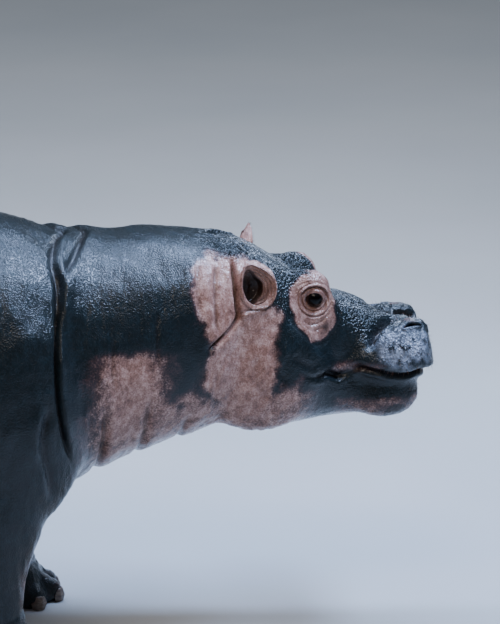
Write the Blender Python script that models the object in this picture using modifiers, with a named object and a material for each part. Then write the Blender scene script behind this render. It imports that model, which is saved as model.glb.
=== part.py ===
"""A life-size common hippopotamus, a young adult female, standing with its head level.

Metres, +Z up. The muzzle points along +X and the animal's left side is +Y. The origin is on the floor,
under the middle of the whole animal. The flesh is modelled whole, as lofts and ellipsoids that a voxel
remesh blends, and is then parted by thin cuts into the pieces that a person would name.
"""

import math

import bmesh
import bpy
from mathutils import Matrix, Vector

# Driving dimensions
NOSE_X = 1.520  # tip of the upper lip
RUMP_X = -1.465  # back of the thighs, under the tail
EYE_RADIUS = 0.027
EYE_CENTRE = Vector((1.137, 0.136, 1.068))  # the left eye; the right one mirrors it
CUT_GAP = 0.0004  # clear space between neighbouring solids
CURVED_GAP = 0.0007  # the same, where the neighbours are round
BLEND_VOXEL = 0.011
BLEND_PASSES = 18
FLESH_TRIANGLES = 4100  # before it is parted
HEAD_COARSENESS, FOOT_COARSENESS, COARSENESS_WEIGHT = 0.05, 0.60, 0.006  # the body's is 1
RING_POINTS = 72
BODY_STEPS, LEG_STEPS, TAIL_STEPS = 9, 8, 2  # rings from one station of a loft to the next
LEG_POWER = 2.2  # of a leg's superellipse section
FLOOR_TRIM = 0.002  # what the soles lose to become flats at one level
SIDES = {"right": -1, "left": 1}
REACH = 3.0  # past the whole animal, for the cutters

# Where the cuts go
NECK_CUT_X = 0.345  # the deep crease in front of the shoulder
HEAD_CUT_TOP = Vector((0.835, 0.0, 1.35))  # the cut behind the ears leans back towards the throat
HEAD_CUT_FOOT = Vector((0.795, 0.0, 0.50))
ANKLE_Z = 0.125

# Lofts along the body: x, top, underside, half width
TORSO = (
    (RUMP_X, 1.000, 0.820, 0.050),
    (-1.440, 1.090, 0.690, 0.180),
    (-1.350, 1.205, 0.540, 0.315),
    (-1.150, 1.300, 0.430, 0.405),
    (-0.800, 1.358, 0.362, 0.456),
    (-0.400, 1.378, 0.332, 0.474),
    (-0.050, 1.368, 0.354, 0.456),
    (0.180, 1.341, 0.412, 0.415),
    (0.345, 1.290, 0.490, 0.362),
    (0.500, 1.275, 0.560, 0.325),
    (0.680, 1.276, 0.615, 0.292),
    (0.850, 1.249, 0.670, 0.250),
    (0.960, 1.164, 0.760, 0.150),
)
SKULL = (
    (0.700, 1.192, 0.860, 0.120),
    (0.800, 1.254, 0.800, 0.205),
    (0.900, 1.242, 0.790, 0.226),
    (1.000, 1.193, 0.790, 0.210),
    (1.100, 1.119, 0.785, 0.180),
    (1.200, 1.059, 0.780, 0.150),
    (1.290, 1.024, 0.780, 0.138),
    (1.370, 0.978, 0.775, 0.152),
    (1.440, 0.957, 0.780, 0.168),
    (1.490, 0.940, 0.800, 0.150),
    (NOSE_X, 0.895, 0.835, 0.090),
)
JAW = (
    (0.760, 0.900, 0.720, 0.110),
    (0.840, 0.960, 0.668, 0.196),
    (0.950, 0.980, 0.645, 0.226),
    (1.070, 0.940, 0.648, 0.204),
    (1.190, 0.880, 0.660, 0.158),
    (1.290, 0.850, 0.665, 0.146),
    (1.380, 0.835, 0.668, 0.160),
    (1.445, 0.810, 0.682, 0.146),
    (1.482, 0.780, 0.715, 0.080),
)

# Legs, from inside the body down to the sole: height, x, distance from the middle, half length, half width
FORELEG = (
    (0.860, 0.140, 0.250, 0.170, 0.120),
    (0.660, 0.140, 0.290, 0.175, 0.125),
    (0.480, 0.125, 0.295, 0.158, 0.118),
    (0.350, 0.115, 0.290, 0.128, 0.106),
    (0.230, 0.110, 0.285, 0.106, 0.096),
    (0.140, 0.118, 0.285, 0.104, 0.098),
    (0.070, 0.132, 0.285, 0.120, 0.110),
    (0.010, 0.140, 0.285, 0.130, 0.118),
    (-0.030, 0.140, 0.285, 0.110, 0.100),
)
HINDLEG = (
    (0.960, -1.060, 0.230, 0.250, 0.140),
    (0.760, -1.060, 0.270, 0.245, 0.150),
    (0.560, -1.060, 0.290, 0.205, 0.136),
    (0.410, -1.095, 0.288, 0.145, 0.112),
    (0.290, -1.130, 0.284, 0.108, 0.096),
    (0.190, -1.128, 0.282, 0.098, 0.092),
    (0.120, -1.112, 0.282, 0.100, 0.096),
    (0.065, -1.098, 0.282, 0.114, 0.106),
    (0.010, -1.090, 0.282, 0.122, 0.112),
    (-0.030, -1.090, 0.282, 0.102, 0.094),
)
# Each leg's place in the stance: how far its foot is ahead of the plain stance
STRIDE = {
    ("foreleg", "right"): -0.020,
    ("foreleg", "left"): 0.120,
    ("hindleg", "right"): 0.060,
    ("hindleg", "left"): -0.070,
}
TOE_TURNS = (-62, -21, 21, 62)  # degrees from straight ahead
TOE_RADII = (0.052, 0.037, 0.046)  # along the toe, across it, upwards
TOE_REACH = {"foreleg": 0.102, "hindleg": 0.094}  # from the middle of the foot to that of a toe
TOE_HEIGHT = 0.038
OUTER_TOE_SET_BACK = 0.012
NAIL_RADII = (0.024, 0.027, 0.032)
NAIL_SEGMENTS, EYE_SEGMENTS, NOSTRIL_SEGMENTS = 8, 12, 12
NAIL_REACH, NAIL_HEIGHT = 0.031, 0.020  # the middle of a nail, from that of its toe and from the floor
FOOT_OF = {"foreleg": "forefoot", "hindleg": "hindfoot"}

# The space of each leg: its ends along X, and the groin and flank where its upper cut plane starts and ends
LEG_SPACE = {"foreleg": (-0.110, 0.400), "hindleg": (-1.420, -0.800)}
GROIN = (0.085, 0.300)  # distance from the middle, height
FLANK = (0.800, 0.780)

# The ears: middle, the way the cup faces, the way the tip points, radii across, along the cup and to the tip
EARS = {
    "right": ((0.949, -0.190, 1.119), (-0.08, -0.96, 0.20), (-0.10, 0.20, 0.97), (0.060, 0.042, 0.075)),
    "left": ((0.981, 0.172, 1.158), (0.98, 0.10, -0.16), (0.22, 0.10, 0.96), (0.048, 0.030, 0.074)),
}
EAR_WALL = 0.010
EAR_SEGMENTS, EAR_RINGS = 16, 9
EAR_NARROWING = 0.52  # how much less than its radius the ear is across at the tip
EAR_CUP_SHIFT = Vector((0.0, 0.026, 0.004))

# The tail, from inside the rump to its tip: x, z, half depth, half width
TAIL = (
    (-1.370, 1.120, 0.050, 0.050),
    (-1.436, 1.085, 0.052, 0.052),
    (-1.477, 1.020, 0.042, 0.044),
    (-1.491, 0.920, 0.032, 0.033),
    (-1.492, 0.820, 0.026, 0.022),
    (-1.487, 0.730, 0.022, 0.013),
    (-1.484, 0.690, 0.010, 0.006),
)
TAIL_POINTS = 12

# The mouth, from its corner under the eye to the front of the lips, in XZ
MOUTH = (
    (1.075, 0.862),
    (1.110, 0.838),
    (1.170, 0.826),
    (1.240, 0.830),
    (1.300, 0.822),
    (1.360, 0.800),
    (1.420, 0.793),
    (1.480, 0.803),
    (1.560, 0.806),
)
JAW_ANGLE = (0.850, 0.640)  # the back of the lower jaw, under the ear
NOSTRIL_CENTRE = Vector((1.466, 0.084, 0.962))
NOSTRIL_RADII = (0.026, 0.009, 0.030)
NOSTRIL_TURN, NOSTRIL_LEAN = 28, 8  # degrees, outwards and forwards

# Bulges on both sides of the head: name, centre on the left side, radii
BULGES = (
    ("orbit", (1.126, 0.105, 1.082), (0.074, 0.057, 0.074)),
    ("brow_ridge", (1.065, 0.096, 1.102), (0.100, 0.048, 0.052)),
    ("orbit_foot", (1.112, 0.104, 0.985), (0.125, 0.060, 0.115)),
    ("nostril", (1.461, 0.083, 0.932), (0.058, 0.047, 0.044)),
    ("upper_canine", (1.384, 0.112, 0.868), (0.140, 0.080, 0.098)),
    ("lower_canine", (1.370, 0.108, 0.740), (0.110, 0.066, 0.076)),
    ("masseter", (0.965, 0.142, 0.858), (0.220, 0.094, 0.205)),
    ("ear_root", (0.950, 0.150, 1.085), (0.080, 0.060, 0.085)),
    ("lip_front", (1.446, 0.072, 0.870), (0.064, 0.092, 0.088)),
    ("shoulder", (0.110, 0.290, 0.800), (0.310, 0.150, 0.400)),
    ("thigh", (-1.050, 0.300, 0.790), (0.330, 0.175, 0.410)),
)

SKIN_DARK = (0.028, 0.032, 0.036)
SKIN_PINK = (0.420, 0.235, 0.200)
NAIL_HORN = (0.090, 0.075, 0.062)
EYE_BROWN = (0.020, 0.012, 0.008)


def clear_scene():
    for old in list(bpy.data.objects):
        bpy.data.objects.remove(old)


def new_collection(name):
    made = bpy.data.collections.new(name)
    bpy.context.scene.collection.children.link(made)
    return made


def material(name, colour, roughness):
    made = bpy.data.materials.new(name)
    made.use_nodes = True
    shader = made.node_tree.nodes["Principled BSDF"]
    shader.inputs["Base Color"].default_value = (*colour, 1.0)
    shader.inputs["Roughness"].default_value = roughness
    shader.inputs["Metallic"].default_value = 0.0
    return made


def object_from(bm, name, collection, finish=None):
    """A new object from a bmesh, whose faces are turned outwards first."""
    bmesh.ops.recalc_face_normals(bm, faces=bm.faces)
    mesh = bpy.data.meshes.new(name)
    bm.to_mesh(mesh)
    bm.free()
    made = bpy.data.objects.new(name, mesh)
    collection.objects.link(made)
    if finish:
        mesh.materials.append(finish)
    if collection.name == "guides":
        made.hide_render = True
        made.display_type = "WIRE"
    return made


def smooth_between(rows, steps):
    """Rows of numbers, with steps - 1 new rows on a smooth curve between each two."""
    last = len(rows) - 1
    made = []
    for i in range(last):
        before, here, there, after = (rows[min(max(i + k, 0), last)] for k in (-1, 0, 1, 2))
        for step in range(steps):
            t = step / steps
            row = []
            for a, b, c, d in zip(before, here, there, after):
                curve = 2 * b + (c - a) * t + (2 * a - 5 * b + 4 * c - d) * t**2
                row.append(0.5 * (curve + (3 * b - a - 3 * c + d) * t**3))
            made.append(row)
    made.append(list(rows[-1]))
    return made


def superellipse(angle, power):
    """A point of the unit superellipse: 2 is round, and more is boxier."""
    c, s = math.cos(angle), math.sin(angle)
    return (
        math.copysign(abs(c) ** (2 / power), c),
        math.copysign(abs(s) ** (2 / power), s),
    )


def skin_rings(rings, name, collection, finish=None):
    """A closed surface over rings of points, with a point at the middle of each end ring."""
    bm = bmesh.new()
    loops = [[bm.verts.new(p) for p in ring] for ring in rings]
    count = len(rings[0])
    for low, high in zip(loops, loops[1:]):
        for i in range(count):
            j = (i + 1) % count
            bm.faces.new((low[i], low[j], high[j], high[i]))
    for loop in (loops[0], loops[-1]):
        middle = bm.verts.new(sum((v.co for v in loop), Vector()) / count)
        for i in range(count):
            bm.faces.new((loop[i], loop[(i + 1) % count], middle))
    return object_from(bm, name, collection, finish)


def body_loft(rows, name, collection, widest=0.46, power=2.3):
    """A loft along X. widest is where between underside and top the section is widest."""
    rings = []
    for x, top, underside, half_width in smooth_between(rows, BODY_STEPS):
        middle = underside + widest * (top - underside)
        ring = []
        for i in range(RING_POINTS):
            across, up = superellipse(2 * math.pi * i / RING_POINTS, power)
            rise = (top - middle) if up > 0 else (middle - underside)
            ring.append((x, half_width * across, middle + rise * up))
        rings.append(ring)
    return skin_rings(rings, name, collection)


def leg_loft(rows, side, stride, name, collection):
    """A loft down a leg. The whole stride is in the foot, and none in the shoulder or hip."""
    hip = rows[0][0]
    rings = []
    for z, x, out, half_length, half_width in smooth_between(rows, LEG_STEPS):
        swing = stride * min(1.0, max(0.0, (hip - z) / hip)) ** 1.2
        ring = []
        for i in range(RING_POINTS):
            along, across = superellipse(2 * math.pi * i / RING_POINTS, LEG_POWER)
            ring.append((x + swing + half_length * along, side * (out + half_width * across), z))
        rings.append(ring)
    return skin_rings(rings, name, collection)


def ellipsoid(name, centre, radii, collection, turn=None, segments=28, finish=None):
    bm = bmesh.new()
    bmesh.ops.create_uvsphere(bm, u_segments=segments, v_segments=segments // 2, radius=1.0)
    shape = (turn or Matrix.Identity(4)) @ Matrix.Diagonal((*radii, 1.0))
    bmesh.ops.transform(bm, matrix=Matrix.Translation(centre) @ shape, verts=bm.verts)
    return object_from(bm, name, collection, finish)


def foot_centre(kind, side):
    rows = FORELEG if kind == "foreleg" else HINDLEG
    sole = rows[-2]
    return Vector((sole[1] + STRIDE[kind, side], SIDES[side] * sole[2], 0.0))


def toe_places(kind, side):
    """(direction, centre) of each toe of a foot. The outer toes sit a little further back."""
    for degrees in TOE_TURNS:
        turn = math.radians(degrees)
        ahead = Vector((math.cos(turn), math.sin(turn), 0.0))
        set_back = Vector((-OUTER_TOE_SET_BACK * abs(degrees) / max(TOE_TURNS), 0.0, TOE_HEIGHT))
        yield ahead, foot_centre(kind, side) + ahead * TOE_REACH[kind] + set_back


def toe_turn(ahead):
    return Matrix.Rotation(math.atan2(ahead.y, ahead.x), 4, "Z")


def model_whole_flesh(guides):
    """Every part of the flesh but the ears and the tail, as one blended mesh on the floor."""
    pieces = [
        body_loft(TORSO, "torso_guide", guides),
        body_loft(SKULL, "skull_guide", guides, widest=0.42, power=2.5),
        body_loft(JAW, "jaw_guide", guides, widest=0.55, power=2.4),
    ]
    for side, sign in SIDES.items():
        for kind, rows in (("foreleg", FORELEG), ("hindleg", HINDLEG)):
            pieces.append(leg_loft(rows, sign, STRIDE[kind, side], f"{kind}_{side}_guide", guides))
            for number, (ahead, centre) in enumerate(toe_places(kind, side)):
                name = f"toe_{kind}_{side}_{number}"
                pieces.append(ellipsoid(name, centre, TOE_RADII, guides, toe_turn(ahead)))
        for name, centre, radii in BULGES:
            middle = (centre[0], sign * centre[1], centre[2])
            pieces.append(ellipsoid(f"{name}_{side}_guide", middle, radii, guides))
    bm = bmesh.new()
    for piece in pieces:
        bm.from_mesh(piece.data)
        bpy.data.objects.remove(piece)
    whole = object_from(bm, "whole_guide", guides)
    blend = whole.modifiers.new("blend", "REMESH")
    blend.mode = "VOXEL"
    blend.voxel_size = BLEND_VOXEL
    soften = whole.modifiers.new("soften", "SMOOTH")
    soften.factor = 0.5
    soften.iterations = BLEND_PASSES
    bake_modifiers(whole)
    cut_flat_below(whole, 0.0)
    lighten(whole, FLESH_TRIANGLES)
    cut_flat_below(whole, FLOOR_TRIM)
    whole.data.transform(Matrix.Translation((0.0, 0.0, -FLOOR_TRIM)))
    return whole


def bake_modifiers(obj):
    """Gives obj the mesh that its modifiers make, and removes them."""
    graph = bpy.context.evaluated_depsgraph_get()
    graph.update()
    made = bpy.data.meshes.new_from_object(obj.evaluated_get(graph), depsgraph=graph)
    obj.modifiers.clear()
    obj.data = made
    return obj


def cut_flat_below(obj, height):
    """Cuts off what is lower than height, and closes each sole with a flat face."""
    bm = bmesh.new()
    bm.from_mesh(obj.data)
    geometry = list(bm.verts) + list(bm.edges) + list(bm.faces)
    floor = Vector((0.0, 0.0, height))
    bmesh.ops.bisect_plane(bm, geom=geometry, plane_co=floor, plane_no=(0, 0, -1), clear_outer=True)
    rim = [e for e in bm.edges if e.is_boundary]
    bmesh.ops.holes_fill(bm, edges=rim, sides=0)
    bmesh.ops.recalc_face_normals(bm, faces=bm.faces)
    bm.to_mesh(obj.data)
    bm.free()


def lighten(obj, triangles):
    """Decimates obj to this many triangles, which are smallest on the head, and small on the feet."""
    group = obj.vertex_groups.new(name="coarseness")
    for vert in obj.data.vertices:
        if vert.co.x > HEAD_CUT_TOP.x:
            coarseness = HEAD_COARSENESS
        elif vert.co.z < ANKLE_Z:
            coarseness = FOOT_COARSENESS
        else:
            coarseness = 1.0
        group.add([vert.index], coarseness, "REPLACE")
    obj.data.calc_loop_triangles()
    fewer = obj.modifiers.new("fewer", "DECIMATE")
    fewer.vertex_group = group.name
    fewer.vertex_group_factor = COARSENESS_WEIGHT
    fewer.ratio = triangles / len(obj.data.loop_triangles)
    fewer.use_collapse_triangulate = True
    bake_modifiers(obj)
    obj.vertex_groups.clear()


def prism(name, outline, low, high, axis, guides):
    """A solid between two parallel planes. Its outline is in XZ for axis Y, and in YZ for axis X."""
    bm = bmesh.new()
    rings = []
    for depth in (low, high):
        if axis == "Y":
            rings.append([bm.verts.new((a, depth, b)) for a, b in outline])
        else:
            rings.append([bm.verts.new((depth, a, b)) for a, b in outline])
    count = len(outline)
    bm.faces.new(rings[0])
    bm.faces.new(rings[1])
    for i in range(count):
        j = (i + 1) % count
        bm.faces.new((rings[0][i], rings[0][j], rings[1][j], rings[1][i]))
    return object_from(bm, name, guides)


def boolean(obj, cutter, operation):
    cut = obj.modifiers.new(operation.lower(), "BOOLEAN")
    cut.operation = operation
    cut.object = cutter
    cut.solver = "EXACT"
    return bake_modifiers(obj)


def copy_of(obj, name, collection, finish):
    made = bpy.data.objects.new(name, obj.data.copy())
    collection.objects.link(made)
    made.data.materials.clear()
    made.data.materials.append(finish)
    return made


def grown(obj, by, guides):
    """A copy that is thicker all over, to cut a neighbour back from it."""
    bigger = bpy.data.objects.new(obj.name + "_grown", obj.data.copy())
    guides.objects.link(bigger)
    bigger.hide_render = True
    bigger.display_type = "WIRE"
    swell = bigger.modifiers.new("swell", "DISPLACE")
    swell.strength = by
    swell.mid_level = 0.0
    return bake_modifiers(bigger)


def box_outline(low, high):
    return ((low[0], low[1]), (high[0], low[1]), (high[0], high[1]), (low[0], high[1]))


def jaw_outline(gap):
    """The lower jaw's side of the cuts, in XZ. A larger gap makes it larger all round."""
    mouth = [(x, z + gap) for x, z in MOUTH]
    front = MOUTH[-1][0]
    back = (JAW_ANGLE[0] - gap, JAW_ANGLE[1])
    below = [(back[0], 0.0), (front, 0.0)]
    corner = [(MOUTH[0][0] - gap, mouth[0][1])]
    return mouth[::-1] + corner + [back] + below


def part_head_and_jaw(whole, parts, guides, finish):
    """The head, with its sockets and nostrils, and the lower jaw, parted along the mouth."""
    top, foot = HEAD_CUT_TOP, HEAD_CUT_FOOT
    head_outline = ((foot.x, foot.z), (REACH, foot.z), (REACH, top.z), (top.x, top.z))
    head_side = prism("head_side_guide", head_outline, -REACH, REACH, "Y", guides)
    jaw_side = prism("jaw_side_guide", jaw_outline(0.0), -REACH, REACH, "Y", guides)
    jaw_clear = prism("jaw_clear_guide", jaw_outline(CUT_GAP), -REACH, REACH, "Y", guides)
    head = boolean(copy_of(whole, "head", parts, finish), head_side, "INTERSECT")
    boolean(head, jaw_clear, "DIFFERENCE")
    boolean(copy_of(whole, "lower_jaw", parts, finish), jaw_side, "INTERSECT")
    return head


def add_eyes(head, parts, guides, finish):
    for side, sign in SIDES.items():
        centre = Vector((EYE_CENTRE.x, sign * EYE_CENTRE.y, EYE_CENTRE.z))
        eye = ellipsoid(f"eye_{side}", centre, (EYE_RADIUS,) * 3, parts, None, EYE_SEGMENTS, finish)
        eye.data.shade_smooth()
        room = ellipsoid(f"socket_{side}", centre, (EYE_RADIUS + CURVED_GAP,) * 3, guides, None, EYE_SEGMENTS)
        boolean(head, room, "DIFFERENCE")


def open_nostrils(head, guides):
    """Two slits on the top of the muzzle, which run forwards and outwards."""
    for side, sign in SIDES.items():
        outwards = Matrix.Rotation(sign * math.radians(NOSTRIL_TURN), 4, "Z")
        turn = outwards @ Matrix.Rotation(math.radians(NOSTRIL_LEAN), 4, "Y")
        centre = (NOSTRIL_CENTRE.x, sign * NOSTRIL_CENTRE.y, NOSTRIL_CENTRE.z)
        slit = ellipsoid(f"nostril_{side}_cut", centre, NOSTRIL_RADII, guides, turn, NOSTRIL_SEGMENTS)
        boolean(head, slit, "DIFFERENCE")


def ear_turn(face, tip):
    """The turn that points an ear's Y along the way its cup faces, and its Z towards its tip."""
    face = Vector(face).normalized()
    across = Vector(tip).cross(face).normalized()
    up = face.cross(across)
    return Matrix((across, face, up)).transposed().to_4x4()


def ear_shell(name, radii, middle, turn, collection, finish=None):
    """An egg with its narrow end at the ear's tip."""
    bm = bmesh.new()
    bmesh.ops.create_uvsphere(bm, u_segments=EAR_SEGMENTS, v_segments=EAR_RINGS, radius=1.0)
    for vert in bm.verts:
        narrow = 1.0 - EAR_NARROWING * max(0.0, vert.co.z) ** 1.6
        vert.co.x *= narrow
        vert.co.y *= narrow
    bmesh.ops.transform(bm, matrix=turn @ Matrix.Diagonal((*radii, 1.0)), verts=bm.verts)
    bmesh.ops.translate(bm, vec=middle, verts=bm.verts)
    return object_from(bm, name, collection, finish)


def add_ears(head, parts, guides, finish):
    """Cupped shells that open outwards, each cut back from the head it stands on."""
    head_room = grown(head, CUT_GAP, guides)
    for side, (middle, face, tip, radii) in EARS.items():
        turn = ear_turn(face, tip)
        across, deep, tall = radii
        ear = ear_shell(f"ear_{side}", radii, Vector(middle), turn, parts, finish)
        cup_radii = (across - EAR_WALL, deep + 0.8 * EAR_WALL, tall - EAR_WALL)
        cup_middle = Vector(middle) + turn.to_3x3() @ EAR_CUP_SHIFT
        cup = ear_shell(f"ear_{side}_cup", cup_radii, cup_middle, turn, guides)
        boolean(ear, cup, "DIFFERENCE")
        boolean(ear, head_room, "DIFFERENCE")
        keep_largest(ear)
        ear.data.shade_smooth()


def keep_largest(obj):
    """Drops the small scraps that a cut can leave, and keeps the one body with the most faces."""
    bm = bmesh.new()
    bm.from_mesh(obj.data)
    todo = set(bm.verts)
    groups = []
    while todo:
        group, edge = set(), [todo.pop()]
        while edge:
            vert = edge.pop()
            group.add(vert)
            for link in vert.link_edges:
                other = link.other_vert(vert)
                if other in todo:
                    todo.discard(other)
                    edge.append(other)
        groups.append(group)
    groups.sort(key=len)
    for group in groups[:-1]:
        bmesh.ops.delete(bm, geom=list(group), context="VERTS")
    bm.to_mesh(obj.data)
    bm.free()


def add_tail(trunk, parts, guides, finish):
    """A short tail that hangs against the rump, round at its root and flat from side to side at its tip."""
    path = smooth_between(TAIL, TAIL_STEPS)
    rings = []
    for i, (x, z, deep, wide) in enumerate(path):
        before, after = path[max(i - 1, 0)], path[min(i + 1, len(path) - 1)]
        along = Vector((after[0] - before[0], 0.0, after[1] - before[1])).normalized()
        out = Vector((along.z, 0.0, -along.x))
        ring = []
        for k in range(TAIL_POINTS):
            angle = 2 * math.pi * k / TAIL_POINTS
            ring.append(Vector((x, wide * math.cos(angle), z)) + out * (deep * math.sin(angle)))
        rings.append(ring)
    tail = skin_rings(rings, "tail", parts, finish)
    boolean(tail, grown(trunk, CUT_GAP, guides), "DIFFERENCE")
    keep_largest(tail)
    tail.data.shade_smooth()


def leg_region(kind, side, gap, guides):
    """The space of a leg, under a plane that rises outwards from the groin to the flank."""
    low_x, high_x = LEG_SPACE[kind]
    inner = GROIN[0] - gap
    outline = ((inner, -REACH), (inner, GROIN[1] + gap), (FLANK[0], FLANK[1] + gap), (FLANK[0], -REACH))
    outline = [(SIDES[side] * y, z) for y, z in outline]
    return prism(f"{kind}_{side}_space", outline, low_x - gap, high_x + gap, "X", guides)


def part_neck(whole, parts, guides, finish):
    top, foot = HEAD_CUT_TOP, HEAD_CUT_FOOT
    back = NECK_CUT_X + CUT_GAP
    foot_x, top_x = foot.x - CUT_GAP, top.x - CUT_GAP
    outline = ((back, 0.0), (foot_x, 0.0), (foot_x, foot.z), (top_x, top.z), (top_x, REACH), (back, REACH))
    space = prism("neck_space", outline, -REACH, REACH, "Y", guides)
    return boolean(copy_of(whole, "neck", parts, finish), space, "INTERSECT")


def part_trunk(whole, parts, guides, finish):
    space = prism("trunk_space", box_outline((-REACH, -1.0), (NECK_CUT_X, REACH)), -REACH, REACH, "Y", guides)
    return boolean(copy_of(whole, "trunk", parts, finish), space, "INTERSECT")


def part_leg(whole, kind, side, parts, guides, finish):
    """A leg down to the ankle, and its foot."""
    leg = copy_of(whole, f"{kind}_{side}", parts, finish)
    boolean(leg, leg_region(kind, side, 0.0, guides), "INTERSECT")
    below = box_outline((-REACH, -1.0), (REACH, ANKLE_Z))
    foot_below = box_outline((-REACH, -1.0), (REACH, ANKLE_Z - CUT_GAP))
    foot = copy_of(leg, f"{FOOT_OF[kind]}_{side}", parts, finish)
    boolean(foot, prism(f"foot_space_{kind}_{side}", foot_below, -REACH, REACH, "Y", guides), "INTERSECT")
    boolean(leg, prism(f"ankle_{kind}_{side}", below, -REACH, REACH, "Y", guides), "DIFFERENCE")
    keep_largest(foot)
    keep_largest(leg)


def part_body(whole, parts, guides, finish):
    """Neck, trunk, legs and feet."""
    neck = part_neck(whole, parts, guides, finish)
    trunk = part_trunk(whole, parts, guides, finish)
    for kind in FOOT_OF:
        for side in SIDES:
            room = leg_region(kind, side, CUT_GAP, guides)
            boolean(trunk, room, "DIFFERENCE")
            if kind == "foreleg":
                boolean(neck, room, "DIFFERENCE")
            part_leg(whole, kind, side, parts, guides, finish)
    keep_largest(neck)
    keep_largest(trunk)
    return trunk


def add_nails(parts, guides, finish):
    """The small rounded hoof on the front of each toe, cut back from the foot and flat on the floor."""
    floor = prism("floor_space", box_outline((-REACH, -1.0), (REACH, 0.0)), -REACH, REACH, "Y", guides)
    for kind, foot in FOOT_OF.items():
        for side in SIDES:
            foot_room = grown(bpy.data.objects[f"{foot}_{side}"], CURVED_GAP, guides)
            for number, (ahead, centre) in enumerate(toe_places(kind, side), start=1):
                place = Vector((centre.x, centre.y, NAIL_HEIGHT)) + ahead * NAIL_REACH
                name = f"nail_{foot}_{side}_{number}"
                nail = ellipsoid(name, place, NAIL_RADII, parts, toe_turn(ahead), NAIL_SEGMENTS, finish)
                boolean(nail, foot_room, "DIFFERENCE")
                boolean(nail, floor, "DIFFERENCE")
                keep_largest(nail)


def main():
    clear_scene()
    guides = new_collection("guides")
    parts = new_collection("hippopotamus")
    dark = material("wet_skin", SKIN_DARK, 0.35)
    pink = material("pink_skin", SKIN_PINK, 0.45)
    whole = model_whole_flesh(guides)
    head = part_head_and_jaw(whole, parts, guides, dark)
    trunk = part_body(whole, parts, guides, dark)
    add_ears(head, parts, guides, pink)
    add_eyes(head, parts, guides, material("eye", EYE_BROWN, 0.08))
    open_nostrils(head, guides)
    add_tail(trunk, parts, guides, dark)
    add_nails(parts, guides, material("nail", NAIL_HORN, 0.45))
    for guide in list(guides.objects):
        bpy.data.objects.remove(guide)


main()
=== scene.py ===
"""The looks of a life-size hippopotamus: one wet skin over the nodes of flesh, eyes, nails and bristles.

Metres, +Z up, muzzle along +X, the animal's left side along +Y. Places are given from landmarks of the
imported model: the middle of an eye, an ear, a foot. What is alike on both sides is made from one list, in
which the distance from the middle plane stands for Y.
"""

import math
from collections import namedtuple

import bmesh
import bpy
import numpy as np
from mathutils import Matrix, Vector
from mathutils.bvhtree import BVHTree

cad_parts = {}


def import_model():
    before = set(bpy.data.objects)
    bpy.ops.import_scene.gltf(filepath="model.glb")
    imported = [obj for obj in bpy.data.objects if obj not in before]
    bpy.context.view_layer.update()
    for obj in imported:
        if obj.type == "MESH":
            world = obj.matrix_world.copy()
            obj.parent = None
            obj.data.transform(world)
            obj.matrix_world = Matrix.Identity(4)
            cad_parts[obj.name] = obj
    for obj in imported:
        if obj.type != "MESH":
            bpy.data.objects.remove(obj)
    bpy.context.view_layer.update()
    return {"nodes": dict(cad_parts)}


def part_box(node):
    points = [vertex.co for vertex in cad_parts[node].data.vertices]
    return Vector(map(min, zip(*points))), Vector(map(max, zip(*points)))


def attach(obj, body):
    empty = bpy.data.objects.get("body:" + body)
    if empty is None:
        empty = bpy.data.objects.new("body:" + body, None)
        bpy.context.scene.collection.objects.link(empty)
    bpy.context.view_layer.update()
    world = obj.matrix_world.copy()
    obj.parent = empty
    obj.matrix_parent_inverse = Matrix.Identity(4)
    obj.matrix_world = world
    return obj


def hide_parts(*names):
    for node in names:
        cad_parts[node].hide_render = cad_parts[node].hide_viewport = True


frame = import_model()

SIDES = {"right": -1, "left": 1}
SEPARATE = ("eye_", "nail_")
FLESH = sorted(name for name in frame["nodes"] if not name.startswith(SEPARATE))
FEET = [name for name in FLESH if "foot_" in name]


def middle(node):
    low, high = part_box(node)
    return (low + high) / 2


# Landmarks
EYE = middle("eye_left")
EYE_RADIUS = (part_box("eye_left")[1].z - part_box("eye_left")[0].z) / 2
NECK_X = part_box("neck")[0].x  # the deep crease in front of the shoulder
HEAD_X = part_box("head")[0].x
NOSE_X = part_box("head")[1].x
RUMP_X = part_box("trunk")[0].x
ANKLE_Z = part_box("forefoot_left")[1].z

# Where places are given from: ahead, out from the middle plane, and up
FROM_EYE = (EYE.x, 0.0, EYE.z)
FROM_CREASE = (NECK_X, 0.0, 0.0)

# The base mesh
SWELL = 0.0012  # closes the gaps between the nodes
VOXEL = 0.0141
SMOOTH_FACTOR, SWELL_FACTOR = 0.5, -0.52

# The patches that are sewn into it
PATCH_REACH = 0.2
PATCH_GAP = 0.0015  # the gap round a patch, which is bridged
RAY_START, RAY_LENGTH = 0.15, 0.5  # of the rays down on to the skin


# ---------------- points and noise


def rows_of(items, key, width=3, kind=float):
    """One value of every vertex, edge or normal, as rows of this width."""
    flat = np.empty(len(items) * width, dtype=kind)
    items.foreach_get(key, flat)
    return flat.reshape(-1, width)


def points_of(mesh):
    return rows_of(mesh.vertices, "co")


def normals_of(mesh):
    return rows_of(mesh.vertex_normals, "vector")


def edges_of(mesh):
    return rows_of(mesh.edges, "vertices", 2, int)


def set_points(mesh, points):
    mesh.vertices.foreach_set("co", np.ascontiguousarray(points, dtype=float).ravel())
    mesh.update()


def editable(mesh):
    """The mesh as a bmesh, which write puts back."""
    bm = bmesh.new()
    bm.from_mesh(mesh)
    bm.verts.ensure_lookup_table()
    return bm


def write(bm, mesh):
    bm.to_mesh(mesh)
    bm.free()
    return mesh


def lengths_of(vectors):
    return np.linalg.norm(vectors, axis=1)


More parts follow.
